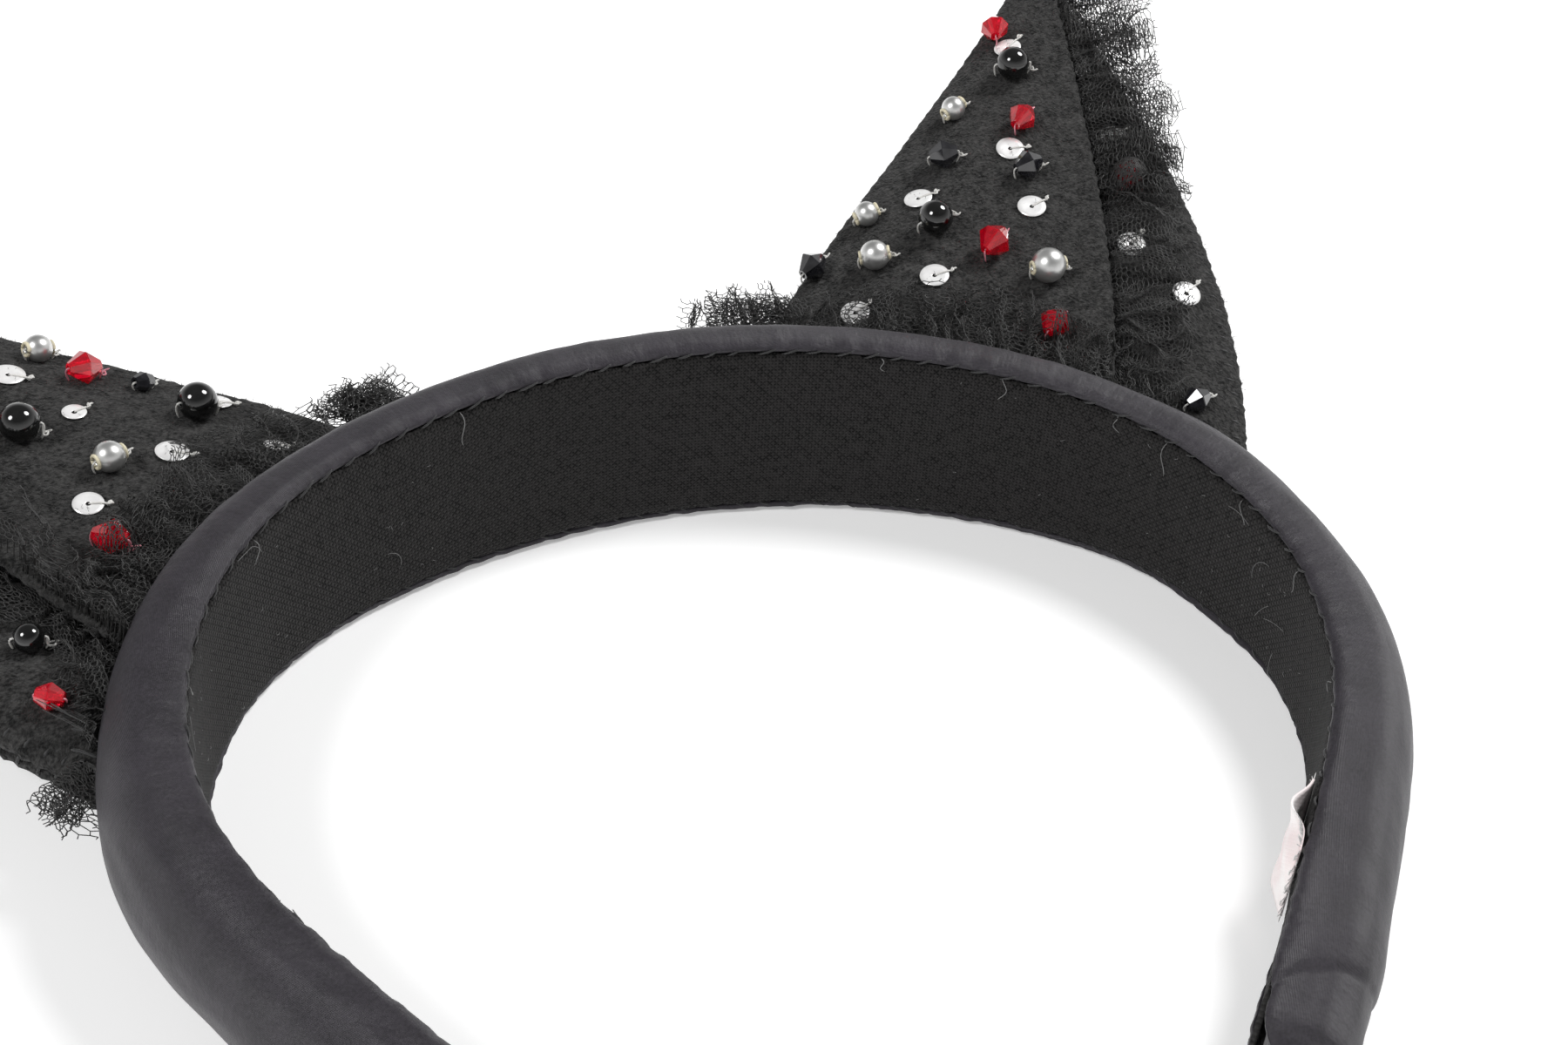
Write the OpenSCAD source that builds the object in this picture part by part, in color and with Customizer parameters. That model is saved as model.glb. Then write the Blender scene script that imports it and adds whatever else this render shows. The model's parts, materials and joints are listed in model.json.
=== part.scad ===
// Animal ears headband, lying on its rear edge as on a table.
// +Z points up to the front edge of the band; the arms run towards -Y.

/* [Band] */
// Radius of the inner face at the crown
crown_r = 83; // [76:1:90]
// Radius of the inner face at each side
side_r = 42; // [38:1:46]
// Length of the nearly straight stretch at the end of each arm
arm_len = 40; // [30:1:46]
// Width of the band, edge to edge, at the crown
band_w = 27.5; // [24:0.5:30]
// Width lost for each millimetre along -Y
band_taper = 0.147; // [0.1:0.005:0.16]
// Padded thickness of the band
band_t = 10.4; // [9:0.1:12]
// Thickness of the satin cover
cover_t = 0.7; // [0.5:0.1:0.9]
// Thickness of the woven lining
lining_t = 0.6; // [0.4:0.1:0.7]
// Thickness of the springy plastic core
core_t = 1.4; // [1:0.1:1.8]
// Distance between seam stitches
seam_pitch = 3.6; // [3:0.2:5]

/* [Ears] */
// Length of each ear from the band to the tip
ear_len = 92; // [80:1:96]
// Width of each ear at the band
ear_w = 69; // [62:1:72]
// Thickness of the felt
felt_t = 1.6; // [1.2:0.1:1.8]
// Place of the right ear: distance along the band from the crown
right_ear_s = 40; // [36:1:46]
// Place of the left ear: distance along the band from the crown
left_ear_s = 62; // [58:1:66]
// Turn of the right ear away from straight out
right_ear_yaw = 26; // [22:1:30]
// Turn of the left ear away from straight out
left_ear_yaw = 48; // [44:1:52]
// Upward tilt of the right ear
right_ear_tilt = 20; // [14:1:26]
// Upward tilt of the left ear
left_ear_tilt = 10; // [6:1:16]

/* [Trimmings] */
// Diameter of the pearls
pearl_d = 5; // [4:0.1:5.4]
// Diameter of the bicone crystals
bicone_d = 4.4; // [4:0.1:5]
// Diameter of the sequins
sequin_d = 4.2; // [3.6:0.1:4.8]
// Diameter of the sewing thread
thread_d = 0.3; // [0.25:0.05:0.4]

/* [Hidden] */
$fn = 32;

// Where the crown's inner face lies, so that the origin is under the middle of the whole object
crown_at = [20.6, 17.7, 0];

// ---- plan of the band: three tangent arcs on each side of the crown ----
crown_deg = 34;
side_deg = 90;
arm_r = 400;
crown_len = crown_r * crown_deg * PI / 180;
side_len = side_r * side_deg * PI / 180;
band_len = crown_len + side_len + arm_len;
turned = crown_deg + side_deg;

// End of an arc of radius r that starts at p with heading h and turns by a, clockwise
function arc_end(p, r, h, a) = p + r * [sin(h + a) - sin(h), cos(h + a) - cos(h)];
crown_end = arc_end([0, 0], crown_r, 0, crown_deg);
side_end = arc_end(crown_end, side_r, crown_deg, side_deg);
function heading(s) =
    s < crown_len ? s / crown_r * 180 / PI
    : s < crown_len + side_len ? crown_deg + (s - crown_len) / side_r * 180 / PI
    : turned + (s - crown_len - side_len) / arm_r * 180 / PI;
function plan(s) =
    s < crown_len ? arc_end([0, 0], crown_r, 0, heading(s))
    : s < crown_len + side_len ? arc_end(crown_end, side_r, crown_deg, heading(s) - crown_deg)
    : arc_end(side_end, arm_r, turned, heading(s) - turned);
function outward(s) = [sin(heading(s)), cos(heading(s))];
function width_at(s) = band_w + band_taper * plan(s)[1];

// A point of the band: s along it, r outward from the inner face, z up
function band_point(s, r, z) = let (p = plan(s) + r * outward(s)) [p[0], p[1], z];

// ---- cross sections, as [r, z] points, anticlockwise with r to the right ----
rim = 1;
strip_r = 4.2;
hem_t = 0.5;
hem_w = 3.2;
core_r0 = lining_t + hem_t;
core_r1 = core_r0 + core_t;
core_edge = 3;
bulge_steps = 9;

// The padded bulge from the lower strip to the upper one, inset by t
function bulge(w, t) = [
    for (i = [0:bulge_steps])
        let (a = -90 + 180 * i / bulge_steps)
        [strip_r + (band_t - strip_r - t) * cos(a), w / 2 + (w / 2 - t) * sin(a)]
];
function flipped(pts, w) = [for (i = [len(pts) - 1:-1:0]) [pts[i][0], w - pts[i][1]]];
function reversed(pts) = [for (i = [len(pts) - 1:-1:0]) pts[i]];
lower_rim = [[0, rim], [0.3, 0.3], [1.2, 0]];
lower_hem = [
    [1.5, cover_t], [core_r0, 1.3], [core_r0, rim + hem_w], [lining_t, rim + hem_w], [lining_t, rim]
];
foam_gap = 0.1;
foam_foot = [
    [core_r1, core_edge], [core_r0 + foam_gap, core_edge],
    [core_r0 + foam_gap, 1.3 + foam_gap], [1.5, cover_t + foam_gap]
];

function skin_section(w) = concat(lower_rim, bulge(w, 0), flipped(lower_rim, w));
function cover_section(w) =
    concat(skin_section(w), flipped(lower_hem, w), reversed(bulge(w, cover_t)), lower_hem);
function foam_section(w) = concat(foam_foot, bulge(w, cover_t + foam_gap), flipped(foam_foot, w));
function core_section(w) = [
    [core_r0, core_edge], [core_r1, core_edge],
    [core_r1, w - core_edge], [core_r0, w - core_edge]
];
function lining_section(w) = [[0, rim], [lining_t, rim], [lining_t, w - rim], [0, w - rim]];

// A solid through rings of points, each ring anticlockwise seen from the path's end
module loft(rings) {
    n = len(rings[0]);
    last = len(rings) - 1;
    points = [for (ring = rings, p = ring) p];
    sides = [
        for (i = [0:last - 1], j = [0:n - 1])
            let (a = i * n + j, b = i * n + (j + 1) % n)
            each [[a, a + n, b + n], [a, b + n, b]]
    ];
    start_cap = [for (j = [0:n - 1]) j];
    end_cap = [for (j = [n - 1:-1:0]) last * n + j];
    polyhedron(points, concat(sides, [start_cap, end_cap]), convexity = 10);
}

stations = 28;
function station(i) = band_len * i / stations;
function band_ring(section, s) = [for (q = section) band_point(s, q[0], q[1])];

// Places a part of the band on the right half, or mirrored on the left one
module half(side) {
    translate(crown_at) mirror([side == "left" ? 1 : 0, 0, 0]) children();
}

module core(side) {
    color("whitesmoke") half(side)
        loft([for (i = [0:stations]) band_ring(core_section(width_at(station(i))), station(i))]);
}
module foam(side) {
    color("lightgray") half(side)
        loft([for (i = [0:stations]) band_ring(foam_section(width_at(station(i))), station(i))]);
}
module cover(side) {
    color("#2b292e") half(side)
        loft([for (i = [0:stations]) band_ring(cover_section(width_at(station(i))), station(i))]);
}
module lining(side) {
    color("#151515") half(side)
        loft([for (i = [0:stations]) band_ring(lining_section(width_at(station(i))), station(i))]);
}

// Satin folded over the end of an arm, rounded off
fold_len = 4;
fold_steps = 5;
function folded(w, k) = let (m = [band_t / 2, w / 2]) [for (q = skin_section(w)) m + k * (q - m)];
module tip_fold(side) {
    rings = [
        for (i = [0:fold_steps])
            let (a = 84 * i / fold_steps, s = band_len + fold_len * sin(a), w = width_at(band_len))
            band_ring(folded(w, 0.35 + 0.65 * cos(a)), s)
    ];
    color("#2b292e") half(side) loft(rings);
}

// Slip stitches along the seam between lining and cover; front is the upper edge
stitch_t = 0.34;
stitch_gap = 0.13;
stitch_slant = 24;
module seam(side, edge) {
    count = floor((band_len - 4) / seam_pitch);
    slant = edge == "front" ? stitch_slant : -stitch_slant;
    color("#1c1c1c") half(side)
        for (i = [0:count - 1]) {
            s = 3 + i * seam_pitch;
            z = edge == "front" ? width_at(s) - rim : rim;
            translate(band_point(s, -stitch_gap, z)) rotate([0, 0, -heading(s)])
                translate([0, -stitch_t / 2, 0]) rotate([0, slant, 0])
                    cube([seam_pitch * 0.6, stitch_t, stitch_t], center = true);
        }
}

// Woven label, sewn to the lining at its two ends and bowed off it between them
label_s = 124;
label_len = 14.5;
label_t = 0.35;
label_bow = 1.3;
label_low = 3;
label_drop = 1.8;
label_rows = 3;
label_steps = 10;
label_gap = 0.15;
function label_r(k) = -label_gap - label_bow * sin(180 * k);
function label_top(s) = width_at(s) - label_drop;
module care_label() {
    rings = [
        for (i = [0:label_steps])
            let (k = i / label_steps, s = label_s + label_len * k, r = label_r(k), top = label_top(s))
            band_ring([[r - label_t, label_low], [r, label_low], [r, top], [r - label_t, top]], s)
    ];
    color("mistyrose") half("right") loft(rings);
}
module label_stitches() {
    color("white") half("right")
        for (s = [label_s + 0.8, label_s + label_len - 0.8], k = [0:label_rows]) {
            z = label_low + 1.5 + k * (label_top(s) - label_low - 3) / label_rows;
            r = label_r((s - label_s) / label_len) - label_t - 0.22;
            translate(band_point(s, r, z)) rotate([0, 0, -heading(s)]) cube([0.3, 0.3, 1.8], center = true);
        }
}

// ---- ears ----
// Local frame of an ear: X across it towards the arm's end, Y along it to the tip, Z out of its front
ear_off = 8;
ear_z = [16, 14];
function is_right(side) = side == "right";
function ear_s(side) = is_right(side) ? right_ear_s : left_ear_s;
module ear_frame(side) {
    s = ear_s(side);
    translate(band_point(s, ear_off, is_right(side) ? ear_z[0] : ear_z[1]))
        rotate([0, 0, is_right(side) ? -right_ear_yaw : -left_ear_yaw])
            rotate([is_right(side) ? right_ear_tilt : left_ear_tilt, 0, 0]) children();
}

// Outline curves of the ear: inner edge, outer edge and the crease of the main panel
function bezier(a, b, c, d, t) =
    pow(1 - t, 3) * a + 3 * pow(1 - t, 2) * t * b + 3 * (1 - t) * t * t * c + pow(t, 3) * d;
kw = ear_w / 69;
kl = ear_len / 92;
function ear_point(u, v) = [u * kw, v * kl];
tip = ear_point(-3, 92);
function inner_edge(t) = bezier(ear_point(-33, -5), ear_point(-27, 28), ear_point(-7, 66), tip, t);
function outer_edge(t) = bezier(ear_point(36, -8), ear_point(36, 30), ear_point(14, 64), tip, t);
function crease(t) = bezier(ear_point(17, -6), ear_point(17.5, 24), ear_point(5.5, 60), tip, t);
edge_steps = 14;
root_y = -26;
function edge_up(k) = [
    for (i = [0:edge_steps])
        let (t = i / edge_steps)
        k == "inner" ? inner_edge(t) : k == "outer" ? outer_edge(t) : crease(t)
];
function panel(left, right) = concat(
    [[left[0][0], root_y]], left, reversed(right), [[right[0][0], root_y]]);
function shifted(pts, d) = [for (p = pts) [p[0] + d, p[1]]];

// Layers of the ear, as heights out of its middle
side_z = -felt_t / 2;
back_z = side_z - felt_t;
ruffle_z = 1.3;
front_z = 2;
front_top = front_z + felt_t;
tuck = 9;

// Cuts an ear's root to the band's curve, with room for the ear to bend
root_gap = 0.5;
hinge_n = 0.6;
outline_steps = 26;
module band_block(off) {
    along = [for (i = [-outline_steps:outline_steps]) i * band_len / outline_steps];
    outer = [
        for (s = along)
            let (q = band_point(abs(s), band_t + off, 0)) [s < 0 ? -q[0] : q[0], q[1]]
    ];
    translate([0, 0, -60]) linear_extrude(160) polygon(concat(outer, [[0, -20]]));
}
module ear_layer(side, z0, z1) {
    reach = max(abs(z0 - hinge_n), abs(z1 - hinge_n)) + root_gap;
    half(side) difference() {
        ear_frame(side) translate([0, 0, z0]) linear_extrude(z1 - z0) children();
        band_block(reach);
    }
}
module ear_front_felt(side) {
    color("#191919") ear_layer(side, front_z, front_top) polygon(panel(edge_up("inner"), edge_up("crease")));
}
module ear_side_felt(side) {
    color("#191919") ear_layer(side, side_z, side_z + felt_t) intersection() {
        polygon(panel(shifted(edge_up("crease"), -tuck), edge_up("outer")));
        polygon(panel(edge_up("inner"), edge_up("outer")));
    }
}
module ear_back_felt(side) {
    color("#191919") ear_layer(side, back_z, back_z + felt_t)
        polygon(panel(edge_up("inner"), edge_up("outer")));
}
module ear_wadding(side) {
    color("dimgray") ear_layer(side, side_z, front_z)
        intersection() {
            polygon(panel(shifted(edge_up("inner"), 1.2), shifted(edge_up("crease"), -tuck - 0.2)));
            translate([-60, root_y]) square([120, ear_len - root_y - 30]);
        }
}

// Overcast stitches wrapped round the outer edge
loop_t = 0.42;
loop_in = 2.1;
overcasts = 34;
module overcast_loop() {
    low = back_z - 0.05;
    high = side_z + felt_t + 0.05;
    rotate([90, 0, 0]) linear_extrude(loop_t, center = true) difference() {
        translate([-loop_in, low - loop_t]) square([loop_in + 0.1 + loop_t, high - low + 2 * loop_t]);
        translate([-loop_in - 1, low]) square([loop_in + 1.1, high - low]);
    }
}
module ear_edge_stitches(side) {
    color("#222222") half(side) ear_frame(side)
        for (i = [0:overcasts - 1]) {
            t = 0.16 + 0.8 * i / overcasts;
            d = outer_edge(t + 0.01) - outer_edge(t - 0.01);
            translate(outer_edge(t)) rotate([0, 0, atan2(d[1], d[0]) - 90])
                translate([0.12, 0, 0]) overcast_loop();
        }
}
// Thread laid over the felt where the ear is sewn down
base_pitch = 4;
module ear_base_stitches(side) {
    color("#222222") half(side) ear_frame(side)
        for (u = [-26:base_pitch:10]) {
            translate([u * kw, 9, front_top + 0.2]) rotate([0, 0, 20]) cube([0.35, 3, 0.36], center = true);
            translate([u * kw, 9, back_z - 0.2]) rotate([0, 0, 20]) cube([0.35, 3, 0.36], center = true);
        }
}

// Gathered net: a strip whose free edge waves
wave_steps = 40;
ruffle_w = 19;
module side_ruffle(side) {
    free = [
        for (i = [0:wave_steps])
            let (t = i / wave_steps, fade = min(1, 6 * t + 0.4, 0.4 + 5 * (1 - t)))
            crease(t) + [fade * (ruffle_w + 1.2 * sin(1500 * t)), 3 * t]
    ];
    root = [for (i = [0:wave_steps]) crease(i / wave_steps) - [5, 0]];
    color("#303030") ear_layer(side, ruffle_z, front_z)
        intersection() {
            polygon(concat(root, reversed(free)));
            translate([-60, 1]) square([120, ear_len - 3]);
        }
}
ruffle_t = 1;
ruffle_h = 15;
module base_ruffle(side) {
    z0 = front_top + 0.45;
    span = 64 * kw;
    free = [
        for (i = [0:wave_steps])
            let (t = i / wave_steps) [-35 * kw + span * t, ruffle_h - 3 * t + 1.1 * sin(1800 * t)]
    ];
    color("#303030") ear_layer(side, z0, z0 + ruffle_t)
        polygon(concat([[-35 * kw, root_y]], free, [[-35 * kw + span, root_y]]));
}

// ---- trimmings, each list holds [across, along] places on the ear ----
right_silver = [[6, 20], [-18, 18.5], [-11, 50], [-20.5, 27.5]];
left_silver = [[-3.5, 18], [-15, 40], [2, 60]];
right_black = [[-3.5, 59.5], [-10.5, 26]];
left_black = [[-18.5, 17.5], [-1, 29.5], [-6, 52], [22.5, 6.5]];
right_red = [[-7, 68], [-1, 48.5], [-2, 23], [16, 42.5], [8, 10]];
left_red = [[-15, 32.5], [2, 45], [-5, 68], [7, 8.5], [28, -1]];
right_bicones = [[1, 39], [-11, 39.5], [-26.5, 16.5], [28.5, 2.5]];
left_bicones = [[-19, 26.5], [-11, 60], [15.5, 45]];
right_discs = [
    [-5, 65.5], [-2, 43.5], [2.5, 32.5], [-14, 32], [-9.5, 17], [-19.5, 9],
    [6.5, 65], [13, 51.5], [17.5, 30.5], [26, 22.5]
];
left_discs = [
    [-9, 39], [-23.5, 18.5], [-8.5, 28], [-10.5, 14.5], [3, 15.5], [-20.5, 6.5],
    [-1, 54], [-8, 45], [12, 58], [17, 38], [18, 25]
];

function silver(side) = is_right(side) ? right_silver : left_silver;
function black(side) = is_right(side) ? right_black : left_black;
function red(side) = is_right(side) ? right_red : left_red;
function bicones(side) = is_right(side) ? right_bicones : left_bicones;
function discs(side) = is_right(side) ? right_discs : left_discs;

// Height of the surface that a trimming at p is sewn on
function crease_u(v) = 17.5 * kw - 0.0028 * v * v;
function under_net(p) = p[1] < ruffle_h + 4 && p[0] < 30;
crease_clear = 1.8;
function past_crease(p) = p[0] > crease_u(p[1]) + crease_clear;
function seat(p) = under_net(p) ? front_top + 1.5 : past_crease(p) ? front_z + 0.02 : front_top + 0.02;
// Which way a bead's hole runs: much the same way over one ear, with small differences
right_sewing_deg = 35;
left_sewing_deg = 40;
hole_sway = 25;
function hole_turn(side, p) =
    (is_right(side) ? right_sewing_deg : left_sewing_deg) + hole_sway * sin(97 * p[0] + 53 * p[1]);
bead_hole_d = 1;

module at(side, p, h) {
    half(side) ear_frame(side)
        translate([p[0], p[1], seat(p) + h]) rotate([0, 0, hole_turn(side, p)]) children();
}
module pearl() {
    rotate([0, 90, 0]) rotate_extrude() intersection() {
        circle(d = pearl_d);
        translate([bead_hole_d / 2, -pearl_d]) square(2 * pearl_d);
    }
}
module bicone() {
    rotate([0, 90, 0]) difference() {
        union() {
            cylinder(d1 = bicone_d, d2 = 1.6, h = bicone_d / 2, $fn = 6);
            mirror([0, 0, 1]) cylinder(d1 = bicone_d, d2 = 1.6, h = bicone_d / 2, $fn = 6);
        }
        cylinder(d = bead_hole_d, h = bicone_d + 1, center = true, $fn = 16);
    }
}
module sequin() {
    difference() {
        cylinder(d = sequin_d, h = 0.25);
        translate([0, 0, -1]) cylinder(d = 0.9, h = 3);
    }
}
module pearls(side, places, tint) {
    color(tint) for (p = places) at(side, p, pearl_d / 2) pearl();
}
module crystals(side, places, tint) {
    color(tint) for (p = places) at(side, p, bicone_d / 2) bicone();
}
module sequins(side) {
    color("silver") for (p = discs(side)) at(side, p, 0) sequin();
}

// Thread through a bead, with a leg down to the felt at each side
module bead_thread(d) {
    reach = d / 2 + 0.5;
    rotate([0, 90, 0]) cylinder(d = thread_d, h = 2 * reach, center = true, $fn = 16);
    for (m = [-1, 1]) translate([m * reach, 0, -d / 2]) cylinder(d = thread_d, h = d / 2, $fn = 16);
}
module bead_threads(side) {
    color("gainsboro") {
        for (p = concat(silver(side), black(side))) at(side, p, pearl_d / 2) bead_thread(pearl_d);
        for (p = concat(red(side), bicones(side))) at(side, p, bicone_d / 2) bead_thread(bicone_d);
    }
}

core("right");  // core_right
core("left");  // core_left
foam("right");  // foam_right
foam("left");  // foam_left
cover("right");  // cover_right
cover("left");  // cover_left
tip_fold("right");  // tip_fold_right
tip_fold("left");  // tip_fold_left
lining("right");  // lining_right
lining("left");  // lining_left
seam("right", "front");  // front_seam_right
seam("left", "front");  // front_seam_left
seam("right", "rear");  // rear_seam_right
seam("left", "rear");  // rear_seam_left
care_label();
label_stitches();
ear_front_felt("right");  // right_ear_front_felt
ear_front_felt("left");  // left_ear_front_felt
ear_side_felt("right");  // right_ear_side_felt
ear_side_felt("left");  // left_ear_side_felt
ear_back_felt("right");  // right_ear_back_felt
ear_back_felt("left");  // left_ear_back_felt
ear_wadding("right");  // right_ear_wadding
ear_wadding("left");  // left_ear_wadding
ear_edge_stitches("right");  // right_ear_edge_stitches
ear_edge_stitches("left");  // left_ear_edge_stitches
ear_base_stitches("right");  // right_ear_base_stitches
ear_base_stitches("left");  // left_ear_base_stitches
side_ruffle("right");  // right_side_ruffle
side_ruffle("left");  // left_side_ruffle
base_ruffle("right");  // right_base_ruffle
base_ruffle("left");  // left_base_ruffle
pearls("right", right_silver, "silver");  // right_silver_pearls
pearls("left", left_silver, "silver");  // left_silver_pearls
pearls("right", right_black, "#050505");  // right_black_pearls
pearls("left", left_black, "#050505");  // left_black_pearls
crystals("right", right_red, "crimson");  // right_red_bicones
crystals("left", left_red, "crimson");  // left_red_bicones
crystals("right", right_bicones, "#101010");  // right_black_bicones
crystals("left", left_bicones, "#101010");  // left_black_bicones
sequins("right");  // right_sequins
sequins("left");  // left_sequins
bead_threads("right");  // right_bead_threads
bead_threads("left");  // left_bead_threads
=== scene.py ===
"""Animal ears headband: satin band, felt ears, gathered net, sewn beads and sequins, round the frame."""
import json
import math

import bmesh
import bpy
import numpy as np
from mathutils import Matrix, Vector


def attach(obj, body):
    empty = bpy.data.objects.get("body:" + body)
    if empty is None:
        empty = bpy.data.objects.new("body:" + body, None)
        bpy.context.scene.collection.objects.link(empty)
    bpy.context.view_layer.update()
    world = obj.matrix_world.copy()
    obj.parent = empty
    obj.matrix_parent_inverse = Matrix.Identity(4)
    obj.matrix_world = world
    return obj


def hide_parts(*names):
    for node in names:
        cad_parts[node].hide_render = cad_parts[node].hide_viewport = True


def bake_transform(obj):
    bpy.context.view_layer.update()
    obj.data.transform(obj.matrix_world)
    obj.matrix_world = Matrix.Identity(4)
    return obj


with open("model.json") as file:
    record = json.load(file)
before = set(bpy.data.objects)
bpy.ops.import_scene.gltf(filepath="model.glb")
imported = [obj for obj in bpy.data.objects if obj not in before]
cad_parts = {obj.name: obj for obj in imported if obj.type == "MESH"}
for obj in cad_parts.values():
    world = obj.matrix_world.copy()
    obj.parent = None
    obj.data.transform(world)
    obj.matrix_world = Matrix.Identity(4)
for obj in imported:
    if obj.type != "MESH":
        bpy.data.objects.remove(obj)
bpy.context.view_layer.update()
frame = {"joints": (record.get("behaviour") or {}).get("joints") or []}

# ---- driving dimensions, in millimetres, in the row frame ----
MM = 0.001
CROWN_R, CROWN_DEG = 83.0, 34.0
SIDE_R, SIDE_DEG = 42.0, 90.0
ARM_R, ARM_LEN = 400.0, 40.0
BAND_W, BAND_TAPER, BAND_T = 27.5, 0.147, 10.4
SECTION_FLAT = 4.2  # how far out the section's sides run before it turns round
RIM = 1.0
FOLD_LEN = 4.0
TIP_FOLD_AT = (154.0, 146.0)  # where the folded ends start: at the seams and at the outer face
BLEND_HALF = 30.0  # the band's layers bend within this distance of the crown
SEAM_PITCH, SEAM_SHIFT = 3.6, 1.2
GIRTH = 62.0
TURNED_IN = 0.035  # share of the girth at each seam where the satin is turned in
FLOOR_GAP = 0.05
JOINTS = {j["name"]: j for j in frame["joints"]}
FLEX_AT = np.array(JOINTS["band_flex"]["pos_m"]) / MM
CROWN_AT = FLEX_AT - [0, BAND_T, FLEX_AT[2]]

CROWN_LEN = CROWN_R * math.radians(CROWN_DEG)
SIDE_LEN = SIDE_R * math.radians(SIDE_DEG)
BAND_LEN = CROWN_LEN + SIDE_LEN + ARM_LEN
SIDES = ("right", "left")
SEED = {
    "front": 11, "rear": 12, "ends": 15, "fray": 21, "overcast": 31, "root": 33,
    "beads": 71, "fuzz": 81, "lint": 91,
}
THREAD_R = {
    "seam": 0.13, "loose": 0.055, "fray": 0.055, "label": 0.12, "overcast": 0.2, "root": 0.17,
    "rim": 0.24, "clear": 0.14, "tinted": 0.13, "lint": 0.03,
}


# ---- small mesh tools ----
def smooth_noise(seed, count=10):
    """A smooth function of two lengths in mm, about -1 to 1, the same each run."""
    rng = np.random.default_rng(seed)
    angle = rng.uniform(0, 2 * math.pi, count)
    wave = rng.uniform(0.6, 1.6, count)
    phase = rng.uniform(0, 2 * math.pi, count)

    def value(x, y, size):
        x, y = np.broadcast_arrays(np.asarray(x, float), np.asarray(y, float))
        k = 2 * math.pi * wave / size
        arg = x[..., None] * np.cos(angle) * k + y[..., None] * np.sin(angle) * k + phase
        return np.sin(arg).sum(-1) / math.sqrt(count) * 0.8

    return value


def side_random(side, seed):
    """Random numbers for one side: from the seed on the right, from the next seed on the left."""
    return np.random.default_rng(seed if side == "right" else seed + 1)


def make_object(name, points, faces, material, smooth=True, uv=None, outward=True):
    """A mesh object from points in mm. uv holds one [u, v] in mm for each point."""
    mesh = bpy.data.meshes.new(name)
    points = np.asarray(points, float) * MM
    mesh.from_pydata(points.tolist(), [], [list(map(int, f)) for f in faces])
    mesh.update()
    if uv is not None:
        layer = mesh.uv_layers.new(name="cloth")
        at = np.empty(len(mesh.loops), np.int32)
        mesh.loops.foreach_get("vertex_index", at)
        layer.data.foreach_set("uv", (np.asarray(uv, float)[at] * MM).astype(np.float32).ravel())
    if outward:
        bm = bmesh.new()
        bm.from_mesh(mesh)
        bmesh.ops.recalc_face_normals(bm, faces=bm.faces)
        bm.to_mesh(mesh)
        bm.free()
    mesh.polygons.foreach_set("use_smooth", [smooth] * len(mesh.polygons))
    obj = bpy.data.objects.new(name, mesh)
    bpy.context.scene.collection.objects.link(obj)
    mesh.materials.append(material)
    return obj


def ring_faces(rows, count, closed=True, first=0):
    """Quads between rows of count points each."""
    last = count if closed else count - 1
    return [
        (first + i * count + j, first + (i + 1) * count + j,
         first + (i + 1) * count + (j + 1) % count, first + i * count + (j + 1) % count)
        for i in range(rows - 1) for j in range(last)
    ]


def loft(name, rings, material, uv=None):
    """A closed solid through rings of points, its ends closed by fans."""
    rings = np.asarray(rings, float)
    rows, count = rings.shape[:2]
    points = rings.reshape(-1, 3)
    ends = [rings[0].mean(0), rings[-1].mean(0)]
    faces = ring_faces(rows, count)
    a, b = len(points), len(points) + 1
    faces += [(a, (j + 1) % count, j) for j in range(count)]
    base = (rows - 1) * count
    faces += [(b, base + j, base + (j + 1) % count) for j in range(count)]
    if uv is not None:
        uv = np.asarray(uv)
        uv = np.concatenate([uv.reshape(-1, 2), [uv[0].mean(0)], [uv[-1].mean(0)]])
    return make_object(name, np.vstack([points, ends]), faces, material, uv=uv)


def frames_along(path):
    """Two directions across a path at each of its points."""
    d = np.gradient(path, axis=0)
    d /= np.maximum(np.linalg.norm(d, axis=1, keepdims=True), 1e-9)
    x = np.cross(d, np.array([0.31, 0.17, 0.93]))
    x /= np.maximum(np.linalg.norm(x, axis=1, keepdims=True), 1e-9)
    return x, np.cross(d, x)


def tubes(name, paths, radius, material, sides=6, ends=0.35):
    """Many thin tubes as one mesh. Each path is a list of points; the ends taper to a share of the radius."""
    points, faces = [], []
    turn = np.linspace(0, 2 * math.pi, sides, endpoint=False)
    for path in paths:
        path = np.asarray(path, float)
        x, y = frames_along(path)
        n = len(path)
        size = np.full(n, float(radius))
        size[0] = size[-1] = radius * ends
        first = len(points)
        for i in range(n):
            points.extend(path[i] + size[i] * (np.cos(a) * x[i] + np.sin(a) * y[i]) for a in turn)
        faces += ring_faces(n, sides, True, first)
        faces.append(tuple(first + j for j in range(sides - 1, -1, -1)))
        faces.append(tuple(first + (n - 1) * sides + j for j in range(sides)))
    return make_object(name, points, faces, material)


def fit_in(obj, nodes=(), body=None):
    """Hides the CAD nodes that a piece replaces and, if it rides on one body, attaches the piece to that
    body.
    """
    if nodes:
        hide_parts(*nodes)
    if body:
        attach(obj, body)


def half_threads(part, halves, radius, ends=0.35):
    """Fine threads of each half of the band, as one piece on each."""
    for side in SIDES:
        obj = tubes(side + part, halves[side], radius, MAT["lint"], 4, ends)
        fit_in(obj, body=side + "_half")


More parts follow.
